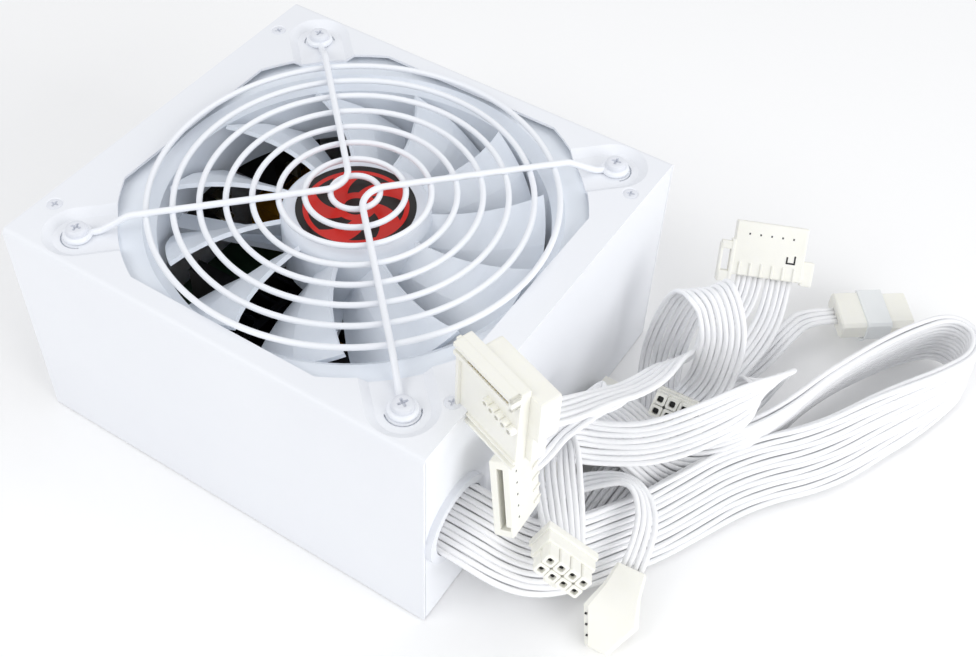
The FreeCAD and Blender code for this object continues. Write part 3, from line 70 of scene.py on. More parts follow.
# Places along each cable in metres, with the heading and rise of its side in degrees
ROUTES = {
    "main_cable": [
        (0.0770, -0.0596, 0.0409, 90, 34),
        (0.0890, -0.0596, 0.0409, 90, 33),
        (0.0996, -0.0562, 0.0328, 99, 20),
        (0.1059, -0.0466, 0.0211, 112, 28),
        (0.1123, -0.0340, 0.0141, 122, 38),
        (0.1187, -0.0209, 0.0106, 133, 42),
        (0.1268, -0.0082, 0.0100, 139, 42),
        (0.1333, 0.0059, 0.0101, 143, 42),
        (0.1399, 0.0210, 0.0102, 146, 42),
        (0.1489, 0.0340, 0.0103, 146, 42),
        (0.1580, 0.0440, 0.0105, 146, 44),
        (0.1660, 0.0560, 0.0108, 146, 48),
        (0.1730, 0.0700, 0.0116, 146, 56),
        (0.1805, 0.0840, 0.0124, 146, 66),
        (0.1875, 0.0980, 0.0130, 146, 78),
        (0.1930, 0.1120, 0.0135, 146, 86),
        (0.1890, 0.1240, 0.0137, 146, 90),
        (0.1780, 0.1250, 0.0142, 146, 94),
        (0.1690, 0.1130, 0.0148, 146, 98),
        (0.1616, 0.0980, 0.0161, 146, 100),
        (0.1552, 0.0820, 0.0182, 146, 102),
        (0.1498, 0.0660, 0.0198, 146, 102),
        (0.1455, 0.0500, 0.0195, 146, 100),
        (0.1399, 0.0350, 0.0168, 140, 85),
        (0.1322, 0.0209, 0.0136, 128, 58),
        (0.1226, 0.0140, 0.0137, 110, 26),
        (0.1116, 0.0125, 0.0184, 94, 5),
        (0.1011, 0.0110, 0.0259, 90, 0),
        (0.0890, 0.0110, 0.0285, 90, 0),
        (0.0885, 0.0100, 0.0163, 90, 0),
    ],
    "eps_cable": [
        (0.0770, -0.0578, 0.0383, 90, 34),
        (0.0881, -0.0578, 0.0383, 90, 33),
        (0.0962, -0.0534, 0.0301, 98, 34),
        (0.1027, -0.0443, 0.0191, 112, 37),
        (0.1096, -0.0320, 0.0119, 122, 40),
        (0.1090, -0.0124, 0.0098, 160, 24),
        (0.1103, 0.0075, 0.0106, 190, 0),
        (0.1167, 0.0283, 0.0105, 198, 0),
        (0.1268, 0.0452, 0.0169, 200, 0),
        (0.1348, 0.0551, 0.0289, 212, -10),
        (0.1409, 0.0471, 0.0410, 230, -30),
        (0.1390, 0.0311, 0.0450, 265, -45),
        (0.1301, 0.0152, 0.0422, 292, -55),
        (0.1172, 0.0023, 0.0363, 305, -60),
        (0.1034, -0.0065, 0.0356, 305, -60),
        (0.0937, -0.0130, 0.0391, 285, -48),
        (0.0940, -0.0226, 0.0427, 230, -20),
        (0.1108, -0.0434, 0.0347, 187.5, 29.4),
        (0.1128, -0.0474, 0.0362, 187.5, 29.4),
    ],
    "pcie_cable": [
        (0.0770, -0.0565, 0.0363, 90, 34),
        (0.0871, -0.0565, 0.0363, 90, 33),
        (0.0940, -0.0530, 0.0289, 98, 34),
        (0.1004, -0.0444, 0.0180, 112, 37),
        (0.1075, -0.0320, 0.0111, 122, 40),
        (0.1070, -0.0108, 0.0077, 162, 22),
        (0.1086, 0.0112, 0.0080, 190, 0),
        (0.1075, 0.0313, 0.0083, 192, 0),
        (0.0979, 0.0487, 0.0164, 202, -25),
        (0.0985, 0.0535, 0.0364, 205, -25),
        (0.1038, 0.0548, 0.0572, 205, -25),
        (0.1125, 0.0487, 0.0639, 205, -25),
        (0.1193, 0.0461, 0.0511, 202, 0),
        (0.1200, 0.0449, 0.0379, 192, 0),
        (0.1189, 0.0429, 0.0254, 180, 0),
        (0.1150, 0.0372, 0.0180, 168, 0),
        (0.1165, 0.0263, 0.0286, -159.9, 16.8),
    ],
    "sata_cable": [
        (0.0770, -0.0586, 0.0319, 90, 34),
        (0.0860, -0.0586, 0.0319, 90, 33),
        (0.0926, -0.0566, 0.0249, 98, 34),
        (0.0999, -0.0477, 0.0134, 112, 37),
        (0.1077, -0.0344, 0.0051, 122, 40),
        (0.1093, -0.0122, 0.0041, 165, 18),
        (0.1111, 0.0088, 0.0045, 190, 0),
        (0.1127, 0.0298, 0.0046, 190, 0),
        (0.1160, 0.0478, 0.0072, 190, 0),
        (0.1199, 0.0627, 0.0126, 190, 0),
        (0.1228, 0.0775, 0.0175, 192, 0),
        (0.1224, 0.0923, 0.0218, 203, -0.1),
        (0.1194, 0.0994, 0.0311, 203, -0.1),
    ],
    "sata_link": [
        (0.1096, 0.0952, 0.0311, 23, 0.1),
        (0.1126, 0.0882, 0.0218, 23, 0.1),
        (0.1063, 0.0746, 0.0179, 20, 5),
        (0.1101, 0.0621, 0.0207, 12, 35),
        (0.1089, 0.0489, 0.0305, 5, 74),
        (0.1079, 0.0318, 0.0432, 15, 40),
        (0.1095, 0.0136, 0.0542, 20, 0),
        (0.1087, -0.0046, 0.0652, 20, 0),
        (0.1069, -0.0207, 0.0772, 10, 0),
        (0.1049, -0.0437, 0.0930, -19.9, 0),
        (0.1015, -0.0531, 0.0987, -19.9, 0),
    ],
    "sata_tail": [
        (0.0910, -0.0503, 0.0928, -19.9, 0),
        (0.0943, -0.0413, 0.0912, -19.9, 0),
        (0.0989, -0.0341, 0.0799, -5, 0),
        (0.1029, -0.0201, 0.0689, 5, 0),
        (0.1040, -0.0061, 0.0589, 12, 0),
        (0.1020, 0.0030, 0.0540, 15, 0),
        (0.0970, -0.0030, 0.0490, 12, 0),
        (0.0940, -0.0150, 0.0495, 8, 0),
        (0.0930, -0.0270, 0.0530, 0, 0),
        (0.0945, -0.0405, 0.0570, -15, -75),
    ],
    "drive_cable": [
        (0.0770, -0.0508, 0.0372, 90, 34),
        (0.0862, -0.0508, 0.0372, 90, 33),
        (0.0914, -0.0474, 0.0306, 98, 34),
        (0.0962, -0.0401, 0.0196, 112, 37),
        (0.0998, -0.0256, 0.0079, 140, 30),
        (0.1000, -0.0089, 0.0043, 175, 8),
        (0.1006, 0.0091, 0.0038, 190, 0),
        (0.1017, 0.0281, 0.0038, 190, 0),
        (0.1085, 0.0441, 0.0022, 190, 0),
        (0.1177, 0.0601, 0.0026, 185, 0),
        (0.1258, 0.0761, 0.0087, 175, 5),
        (0.1299, 0.0920, 0.0169, 155, 25),
        (0.1320, 0.1070, 0.0120, 126.9, -0),
        (0.1408, 0.1136, 0.0120, 126.9, -0),
    ],
    "peripheral_cable": [
        (0.0770, -0.0538, 0.0323, 90, 34),
        (0.0851, -0.0538, 0.0323, 90, 33),
        (0.0900, -0.0520, 0.0263, 98, 34),
        (0.0893, -0.0370, 0.0168, 125, 35),
        (0.0904, -0.0260, 0.0189, 150, 10),
        (0.0979, -0.0165, 0.0195, 140, 0),
        (0.1060, -0.0100, 0.0225, 115, -10),
        (0.1145, -0.0060, 0.0250, 95, -30),
        (0.1220, -0.0090, 0.0240, 55, -25),
        (0.1287, -0.0186, 0.0213, 20, -5),
        (0.1297, -0.0300, 0.0152, 20.1, 0),
    ],
}


# Materials


def linear(code):
    """An sRGB hex value as linear colour."""
    channels = [int(code[start:start + 2], 16) / 255 for start in (1, 3, 5)]
    return [c / 12.92 if c <= 0.04045 else ((c + 0.055) / 1.055) ** 2.4 for c in channels] + [1.0]


def add(tree, kind, settings=(), links=()):
    """A node with its settings, and its inputs, by name or number, linked from other nodes' outputs."""
    node = tree.nodes.new(kind)
    for name, value in dict(settings).items():
        if isinstance(name, int) or name in node.inputs:
            node.inputs[name].default_value = value
        else:
            setattr(node, name, value)
    for name, source in dict(links).items():
        tree.links.new(source, node.inputs[name])
    return node


def new_finish(name, colour, roughness, **settings):
    """A material with its shader; returns the material, its tree and its shader."""
    material = bpy.data.materials.new(name)
    material.use_nodes = True
    tree = material.node_tree
    shader = tree.nodes["Principled BSDF"]
    shader.inputs["Base Color"].default_value = linear(colour)
    shader.inputs["Roughness"].default_value = roughness
    for socket, value in settings.items():
        shader.inputs[socket.replace("_", " ")].default_value = value
    return material, tree, shader


def texture(tree, kind, size, settings=()):
    """A pattern in object space whose features are about size metres across."""
    place = add(tree, "ShaderNodeTexCoord")
    return add(tree, kind, {"Scale": 1 / size, **dict(settings)}, {"Vector": place.outputs["Object"]})


def raise_surface(tree, shader, height, depth):
    """Relief that a pattern gives the surface, depth metres from low to high."""
    bump = add(tree, "ShaderNodeBump", {"Distance": depth, "Strength": 1.0}, {"Height": height})
    tree.links.new(bump.outputs["Normal"], shader.inputs["Normal"])


def tint(tree, shader, factor, low, high):
    """Colour that moves between two values with a pattern."""
    mix = add(tree, "ShaderNodeMix", {"data_type": "RGBA"})
    mix.inputs["A"].default_value = linear(low)
    mix.inputs["B"].default_value = linear(high)
    tree.links.new(factor, mix.inputs["Factor"])
    tree.links.new(mix.outputs["Result"], shader.inputs["Base Color"])


def powder_coat(name, colour, shade, roughness, grain, depth):
    """Powder coat: cured paint with a fine orange peel that softens its highlights."""
    material, tree, shader = new_finish(name, colour, roughness)
    peel = texture(tree, "ShaderNodeTexNoise", grain, {"Detail": 2.0})
    raise_surface(tree, shader, peel.outputs["Fac"], depth)
    drift = texture(tree, "ShaderNodeTexNoise", 0.05, {"Detail": 3.0})
    tint(tree, shader, drift.outputs["Fac"], shade, colour)
    return material


def moulded(name, colour, shade, roughness, grain=0.0006, depth=0.00002, **settings):
    """Injection-moulded plastic: an even colour with a faint spark-eroded texture."""
    material, tree, shader = new_finish(name, colour, roughness, **settings)
    skin = texture(tree, "ShaderNodeTexNoise", grain, {"Detail": 3.0})
    raise_surface(tree, shader, skin.outputs["Fac"], depth)
    drift = texture(tree, "ShaderNodeTexNoise", 0.012, {"Detail": 2.0})
    tint(tree, shader, drift.outputs["Fac"], shade, colour)
    return material


def metal(name, colour, roughness, grain=0.0004, depth=0.00001):
    """Bare or plated metal with fine tool marks."""
    material, tree, shader = new_finish(name, colour, roughness, Metallic=1.0)
    marks = texture(tree, "ShaderNodeTexNoise", grain, {"Detail": 4.0})
    raise_surface(tree, shader, marks.outputs["Fac"], depth)
    return material


def wire_insulation():
    """PVC insulation: smooth and slightly waxy, with faint scuffs."""
    material, tree, shader = new_finish("pvc_wire_insulation", "#FAFAFC", 0.4)
    shader.inputs["Subsurface Weight"].default_value = 0.08
    shader.inputs["Subsurface Radius"].default_value = (0.001, 0.001, 0.001)
    scuff = texture(tree, "ShaderNodeTexNoise", 0.004, {"Detail": 4.0})
    tint(tree, shader, scuff.outputs["Fac"], "#F4F5F8", "#FDFDFE")
    grain = texture(tree, "ShaderNodeTexNoise", 0.0005, {"Detail": 2.0})
    raise_surface(tree, shader, grain.outputs["Fac"], 0.00001)
    return material


def hub_print(centre, radius):
    """Gloss printed foil: a dark disc with red vanes and two red rings, of no maker's design."""
    red, black = "#D8261C", "#17120F"
    vanes, sweep, vane_edge = 5.0, 7.0, 0.15
    core_edge, band_start, band_end, rim_start = 0.2, 0.34, 0.8, 0.88

    material, tree, shader = new_finish("printed_foil", red, 0.28)
    place = add(tree, "ShaderNodeTexCoord")
    shift = add(tree, "ShaderNodeMapping", {"Location": (-centre.x, -centre.y, 0.0)},
                {"Vector": place.outputs["Object"]})
    axes = add(tree, "ShaderNodeSeparateXYZ", (), {"Vector": shift.outputs["Vector"]})
    x, y = axes.outputs["X"], axes.outputs["Y"]
    angle = add(tree, "ShaderNodeMath", {"operation": "ARCTAN2"}, {0: y, 1: x})
    flat = add(tree, "ShaderNodeCombineXYZ", (), {"X": x, "Y": y})
    reach = add(tree, "ShaderNodeVectorMath", {"operation": "LENGTH"}, {"Vector": flat.outputs["Vector"]})

    # Each row: a value, how it is worked out, and the numbers or earlier values it comes from
    values = {"angle": angle.outputs[0], "reach": reach.outputs["Value"]}
    for result, operation, *sources in (
        ("share", "DIVIDE", "reach", radius),
        ("around", "MULTIPLY", "angle", vanes),
        ("outward", "MULTIPLY", "share", sweep),
        ("swept", "ADD", "around", "outward"),
        ("wave", "SINE", "swept"),
        ("vane", "GREATER_THAN", "wave", vane_edge),
        ("past_start", "GREATER_THAN", "share", band_start),
        ("before_end", "LESS_THAN", "share", band_end),
        ("band", "MULTIPLY", "past_start", "before_end"),
        ("vane_in_band", "MULTIPLY", "vane", "band"),
        ("rim", "GREATER_THAN", "share", rim_start),
        ("core", "LESS_THAN", "share", core_edge),
        ("vane_or_rim", "MAXIMUM", "vane_in_band", "rim"),
        ("dark", "MAXIMUM", "vane_or_rim", "core"),
    ):
        settings, links = {"operation": operation}, {}
        for number, source in enumerate(sources):
            if source in values:
                links[number] = values[source]
            else:
                settings[number] = source
        values[result] = add(tree, "ShaderNodeMath", settings, links).outputs[0]
    tint(tree, shader, values["dark"], red, black)
    return material


# Baked powder on steel: soft highlights, broken by a fine orange peel
PAINT = powder_coat("white_powder_coat", "#F4F6FA", "#EEF0F5", 0.42, 0.0007, 0.00003)
# Epoxy that ran a little on the wire: rounder and brighter highlights than the case's
GRILLE_COAT = powder_coat("white_epoxy_dip", "#F7F9FD", "#F1F4FA", 0.3, 0.002, 0.00004)
# Lacquer over a turned head: slightly greyer than the case, with sharp glints
SCREW_COAT = powder_coat("white_lacquered_steel", "#ECEEF4", "#E0E3EA", 0.35, 0.0005, 0.00002)
# Moulded PBT: an even, cool white with a low sheen
FAN_PLASTIC = moulded("cool_white_pbt", "#F0F5FB", "#E9EFF8", 0.34)
# Unpigmented nylon: warm ivory, with light that sinks in at its edges
NYLON = moulded("natural_nylon", "#F9F8F2", "#F3F2E8", 0.4, 0.0008, 0.00003, Subsurface_Weight=0.1,
                Subsurface_Radius=(0.002, 0.002, 0.0015))
# Thin polypropylene: clouded and glossy, lit from within
CLEAR_NYLON = moulded("milky_polypropylene", "#F2F4F4", "#E8EBEC", 0.25, 0.001, 0.00002,
                      Subsurface_Weight=0.3, Subsurface_Radius=(0.004, 0.004, 0.004))
# Moulded nylon: flat black with a dull sheen; in the plugs the same black is painted shade in holes and
# beside a key
BLACK_NYLON_AND_SHADE = moulded("black_nylon_and_painted_shade", "#1B1B1D", "#151517", 0.5)
# Moulded nylon: white, duller than the paint round it
GROMMET = moulded("white_nylon_bush", "#EEF0F5", "#E4E7EE", 0.45)
WIRE = wire_insulation()
# Tin over brass: pale yellow, softly bright
BRASS = metal("tinned_brass", "#C9BFA4", 0.3)
# Turned steel: neutral grey with bright edges
STEEL = metal("turned_steel", "#B9BABC", 0.3)
# Stacked and lacquered sheet: dark grey, half dull
DARK_STEEL = metal("lacquered_laminations", "#3A3B3E", 0.45)
# Dyed oxide on aluminium: near black with a metallic edge
ANODISED = metal("black_anodised_aluminium", "#1D1D20", 0.5)
# Enamelled wire: deep orange under a clear gloss
COPPER = metal("enamelled_copper", "#B2622C", 0.3)
# Pressed ferrite in resin: flat dark grey
MAGNET = moulded("bonded_ferrite", "#1E1E20", "#19191A", 0.6)
# Fired ferrite: dark and faintly gritty
FERRITE = moulded("sintered_ferrite", "#26262A", "#1E1E20", 0.65, 0.0004, 0.00006)
# Wound polyester tape: amber with small glossy ripples
TAPE = moulded("amber_polyester_tape", "#B07A20", "#9A6412", 0.25, 0.003, 0.00005)
# Sleeving shrunk over a can: black and smooth
SLEEVE = moulded("shrunk_pvc_sleeve", "#1A1A1E", "#141418", 0.3)
# Solder mask over glass cloth: dark green with a slight weave
LAMINATE = moulded("solder_masked_laminate", "#1E3A26", "#182F1F", 0.35, 0.001, 0.00003)
# Thin sheet: pale straw colour with a light gloss
LINING = moulded("polyester_sheet", "#E9E6D6", "#DDDAC8", 0.3)

FINISHES = {
    PAINT: ["base_tray", "top_cover"],
    GRILLE_COAT: ["fan_grille"],
    SCREW_COAT: ["fan_screws", "cover_screws"],
    FAN_PLASTIC: ["fan_frame", "fan_rotor"],
    BLACK_NYLON_AND_SHADE: ["inlet_housing", "switch_housing", "switch_rocker", "bridge_rectifier"],
    GROMMET: ["cable_grommet"],
    WIRE: ["lead_bundle"],
    BRASS: ["inlet_pins", "switch_terminals", "board_standoffs"],
    STEEL: ["rotor_shaft", "board_screws", "inlet_screws"],
    DARK_STEEL: ["fan_stator"],
    ANODISED: ["primary_heatsink", "secondary_heatsink"],
    COPPER: ["output_choke", "filter_choke"],
    MAGNET: ["rotor_magnet"],
    FERRITE: ["main_transformer_core", "standby_transformer_core"],
    TAPE: ["main_transformer_winding", "standby_transformer_winding", "filter_capacitors"],
    SLEEVE: ["bulk_capacitor", "output_capacitors", "power_transistors"],
    LAMINATE: ["circuit_board", "control_board"],
    LINING: ["insulating_sheet"],
    NYLON: ["main_connector", "eps_connector", "pcie_connector", "sata_plug_upper", "sata_plug_lower",
            "sata_plug_rear", "drive_plug_front", "drive_plug_rear"],
}


def finish_with(piece, material):
    piece.data.materials.clear()
    piece.data.materials.append(material)


for material, names in FINISHES.items():
    for name in names:
        finish_with(nodes[name], material)
low, high = (Vector(corner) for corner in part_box("hub_sticker"))
finish_with(nodes["hub_sticker"], hub_print((low + high) / 2, (high.x - low.x) / 2))


# Meshes


def new_piece(name, mesh, material, body="case"):
    piece = bpy.data.objects.new(name, mesh)
    bpy.context.collection.objects.link(piece)
    finish_with(piece, material)
    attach(piece, body)
    return piece


def mesh_of(build, smooth=True):
    """A mesh filled by a function that draws into a bmesh."""
    shape = bmesh.new()
    build(shape)
    bmesh.ops.recalc_face_normals(shape, faces=shape.faces)
    mesh = bpy.data.meshes.new("form")
    shape.to_mesh(mesh)
    shape.free()
    if smooth:
        mesh.shade_smooth()
    return mesh


def skin(shape, loops):
    """A closed surface through loops of equal counts, capped at both ends."""
    rings = [[shape.verts.new(place) for place in loop] for loop in loops]
    for before, after in zip(rings, rings[1:]):
        for number, corner in enumerate(before):
            following = (number + 1) % len(before)
            shape.faces.new((corner, before[following], after[following], after[number]))
    shape.faces.new(rings[0][::-1])
    shape.faces.new(rings[-1])


def outline(x, half_y, half_z, cut):
    """An eight-cornered outline across X: a rectangle with its corners cut, in millimetres."""
    corners = ((-1, -1, 0), (-1, -1, 1), (1, -1, 1), (1, -1, 0), (1, 1, 0), (1, 1, 1), (-1, 1, 1), (-1, 1, 0))
    return [Vector((x, y * (half_y - cut * along_y), z * (half_z - cut * (1 - along_y)))) / 1000
            for y, z, along_y in corners]


def add_block(shape, low, high, edge=0.35):
    """A box between two corners in millimetres, with softened edges."""
    low, high = Vector(low) / 1000, Vector(high) / 1000
    place = Matrix.LocRotScale((low + high) / 2, None, high - low)
    made = bmesh.ops.create_cube(shape, size=1.0, matrix=place)
    edges = {line for corner in made["verts"] for line in corner.link_edges}
    bmesh.ops.bevel(shape, geom=list(edges), offset=edge / 1000, segments=2, affect="EDGES", profile=0.6)


def repeated(name, unit, places, material, matrix=Matrix(), spin=0.0, seed=1):
    """Copies of a unit form on places in millimetres, set out by Geometry Nodes, as one piece."""
    tree = bpy.data.node_groups.new(name, "GeometryNodeTree")
    tree.interface.new_socket("Geometry", in_out="INPUT", socket_type="NodeSocketGeometry")
    tree.interface.new_socket("Unit", in_out="INPUT", socket_type="NodeSocketObject")
    tree.interface.new_socket("Spin", in_out="INPUT", socket_type="NodeSocketFloat")
    tree.interface.new_socket("Seed", in_out="INPUT", socket_type="NodeSocketInt")
    tree.interface.new_socket("Geometry", in_out="OUTPUT", socket_type="NodeSocketGeometry")
    given = add(tree, "NodeGroupInput")
    source = add(tree, "GeometryNodeObjectInfo", (), {"Object": given.outputs["Unit"]})
    most = add(tree, "ShaderNodeCombineXYZ", (), {"Z": given.outputs["Spin"]})
    turn = add(tree, "FunctionNodeRandomValue", {"data_type": "FLOAT_VECTOR"},
               {"Max": most.outputs["Vector"], "Seed": given.outputs["Seed"]})
    turn.inputs["Min"].default_value = (0.0, 0.0, 0.0)
    spread = add(tree, "GeometryNodeInstanceOnPoints", (), {
        "Points": given.outputs["Geometry"],
        "Instance": source.outputs["Geometry"],
        "Rotation": turn.outputs["Value"],
    })
    solid = add(tree, "GeometryNodeRealizeInstances", (), {"Geometry": spread.outputs["Instances"]})
    coat = add(tree, "GeometryNodeSetMaterial", {"Material": material},
               {"Geometry": solid.outputs["Geometry"]})
    add(tree, "NodeGroupOutput", (), {"Geometry": coat.outputs["Geometry"]})

    original = bpy.data.objects.new("unit", mesh_of(unit, smooth=False))
    points = bpy.data.meshes.new("places")
    points.from_pydata([Vector(place) / 1000 for place in places], [], [])
    holder = bpy.data.objects.new(name, points)
    for thing in (original, holder):
        bpy.context.collection.objects.link(thing)
    modifier = holder.modifiers.new("repeat", "NODES")
    modifier.node_group = tree
    sockets = {item.name: item.identifier for item in tree.interface.items_tree if item.in_out == "INPUT"}
    modifier[sockets["Unit"]] = original
    modifier[sockets["Spin"]] = spin
    modifier[sockets["Seed"]] = seed
    mesh = bpy.data.meshes.new_from_object(holder.evaluated_get(bpy.context.evaluated_depsgraph_get()))
    mesh.transform(matrix)
    for thing in (original, holder):
        bpy.data.objects.remove(thing)
    return new_piece(name, mesh, material)


def formed(name, build, material, matrix):
    """A piece drawn in its own frame in millimetres, then set in place."""
    mesh = mesh_of(build, smooth=False)
    mesh.transform(matrix)
    return new_piece(name, mesh, material)


# Cables


def heading(turn, rise):
    """The direction with a compass turn from +X and a rise from level, in degrees."""
    turn, rise = math.radians(turn), math.radians(rise)
    return Vector((math.cos(turn) * math.cos(rise), math.sin(turn) * math.cos(rise), math.sin(rise)))


def smooth_line(points):
    """The places along a NURBS line that has the points as its control points."""
    curve = bpy.data.curves.new("line", "CURVE")
    curve.dimensions = "3D"
    curve.resolution_u = 6
    spline = curve.splines.new("NURBS")
    spline.points.add(len(points) - 1)
    for control, point in zip(spline.points, points):
        control.co = (*point, 1.0)
    spline.order_u = 3
    spline.use_endpoint_u = True
    holder = bpy.data.objects.new("line", curve)
    bpy.context.collection.objects.link(holder)
    seen = holder.evaluated_get(bpy.context.evaluated_depsgraph_get())
    mesh = bpy.data.meshes.new_from_object(seen)
    places = [vertex.co.copy() for vertex in mesh.vertices]
    bpy.data.objects.remove(holder)
    bpy.data.curves.remove(curve)
    bpy.data.meshes.remove(mesh)
    return places


def ribbon_line(route):
    """Place, side and face along a flat cable."""
    centres = smooth_line([Vector(row[:3]) for row in route])
    edges = smooth_line([Vector(row[:3]) + heading(*row[3:]) * EDGE_REACH for row in route])
    frames = []
    for number, (centre, edge) in enumerate(zip(centres, edges)):
        along = (centres[min(number + 1, len(centres) - 1)] - centres[max(number - 1, 0)]).normalized()
        side = edge - centre
        side = (side - along * side.dot(along)).normalized()
        frames.append((centre, side, along.cross(side)))
    return frames


def draw_tube(shape, places, frames, radius, sides=8):
    """A closed round tube through places, turned with the ribbon's frames."""
    loops = []
    for place, (_, side, face) in zip(places, frames):
        angles = [2 * math.pi * corner / sides for corner in range(sides)]
        loops.append([place + side * (radius * math.cos(a)) + face * (radius * math.sin(a)) for a in angles])
    skin(shape, loops)


def stray(wave, travelled, wire, layer):
    """How far a wire lies from its place, at a distance along its cable."""
    rate, per_wire, per_layer = wave
    return UNREST * math.sin(travelled * rate + wire * per_wire + layer * per_layer)


def draw_ribbon(frames, wires, layers):
    """Parallel wires side by side, each wandering a little from its neighbours."""
    def build(shape):
        for layer in range(layers):
            for wire in range(wires):
                across = (wire - (wires - 1) / 2) * WIRE_PITCH
                above = (layer - (layers - 1) / 2) * WIRE_PITCH
                places = []
                travelled = 0.0
                last = frames[0][0]
                for centre, side, face in frames:
                    travelled += (centre - last).length
                    last = centre
                    sway = stray(SWAY, travelled, wire, layer)
                    lift = stray(LIFT, travelled, wire, layer)
                    places.append(centre + side * (across + sway) + face * (above + lift))
                draw_tube(shape, places, frames, WIRE_RADIUS)
    return build


# Plugs


def end_matrix(name):
    """A frame at a cable's end: X out of the cable, Y along its side."""
    last, end = (Vector(row[:3]) for row in ROUTES[name][-2:])
    along = (end - last).normalized()
    side = heading(*ROUTES[name][-1][3:])
    side = (side - along * side.dot(along)).normalized()
    matrix = Matrix((along, side, along.cross(side))).transposed().to_4x4()
    matrix.translation = end
    return matrix


def socket_plug(name, columns, matrix):
    """A two-row plug: a back shell, one tube for each pin and a latch, with a black block as painted shade
    deep in each tube.
    """
    wall = 0.6
    half = columns * PIN_PITCH / 2 + wall
    places = [(0, (column - (columns - 1) / 2) * PIN_PITCH, row * PIN_PITCH / 2)
              for column in range(columns) for row in (-1, 1)]

    def shell(shape):
        add_block(shape, (0, -half - wall, -5.1), (3, half + wall, 5.1))
        add_block(shape, (2, -half, -4.5), (8, half, 4.5))
        add_block(shape, (2, -2.5, 4.2), (12, 2.5, 5.5))
        add_block(shape, (10.4, -2.5, 5.0), (12, 2.5, 6.4))
        add_block(shape, (3.6, -1.2, 5.2), (5.2, 1.2, 6.2))

    def tube(shape):
        skin(shape, [outline(7, 2.0, 2.0, 0.5), outline(13.8, 2.0, 2.0, 0.5), outline(14, 1.85, 1.85, 0.5),
                     outline(14, 1.05, 1.05, 0.35), outline(11.5, 0.95, 0.95, 0.35)])

    # Painted shade: a black block at the bottom of each tube
    def pit_shade(shape):
        skin(shape, [outline(11, 0.9, 0.9, 0.3), outline(12.6, 0.9, 0.9, 0.3)])

    pieces = [
        formed(name + "_shell", shell, NYLON, matrix),
        repeated(name + "_tubes", tube, places, NYLON, matrix),
        repeated(name + "_contacts", pit_shade, places, BLACK_NYLON_AND_SHADE, matrix),
    ]
    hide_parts(name)
    return pieces


def slot_outline(x, half_y, half_z, key):
    """The L of a keyed slot, in the order of outline's corners."""
    corners = ((-half_y, -half_z), (-half_y + 0.2, -half_z), (half_y - 0.2, -half_z), (half_y, -half_z),
               (half_y, key), (half_y - 1.4, key), (half_y - 1.4, half_z), (-half_y, half_z))
    return [Vector((x, y, z)) / 1000 for y, z in corners]


def data_plug(name, matrix, depth=20, blocks=(), marks=()):
    """A flat plug with a keyed slot in its end and ribs over its wires; thin black bars on its face are
    painted shade in its test openings.
    """
    def body(shape):
        skin(shape, [
            outline(0, 12.6, 2.8, 0.4), outline(0.4, 13, 3.2, 0.4),
            outline(depth - 0.3, 13, 3.2, 0.4), outline(depth, 12.7, 2.9, 0.4),
            slot_outline(depth, 10.6, 1.0, 2.3), slot_outline(depth - 8, 10.4, 0.9, 2.2),
        ])
        add_block(shape, (1, -13.6, -2.4), (6, -12.6, 2.4))
        add_block(shape, (1, 12.6, -2.4), (6, 13.6, 2.4))
        for low, high in blocks:
            add_block(shape, low, high, 0.4)

    # Painted shade: thin black strips laid on the face beside the key
    def key_shade(shape):
        for low, high in marks:
            add_block(shape, low, high, 0.05)

    def rib(shape):
        add_block(shape, (0.2, -0.4, -3.7), (5, 0.4, 3.7), 0.2)

    # Painted shade: a thin black bar across the face where each test opening lies
    def hole_shade(shape):
        skin(shape, [outline(0.2, 0.35, 3.24, 0.1), outline(0.9, 0.35, 3.24, 0.1)])

    pieces = [
        formed(name + "_body", body, NYLON, matrix),
        repeated(name + "_ribs", rib, [(0, y, 0) for y in (-10, -6, -2, 2, 6, 10)], NYLON, matrix),
        repeated(name + "_holes", hole_shade, [(depth - 5, y, 0) for y in (-8, -4, 0, 4, 8)], BLACK_NYLON_AND_SHADE, matrix),
    ]
    if marks:
        pieces.append(formed(name + "_key_marks", key_shade, BLACK_NYLON_AND_SHADE, matrix))
    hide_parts(name)
    return pieces


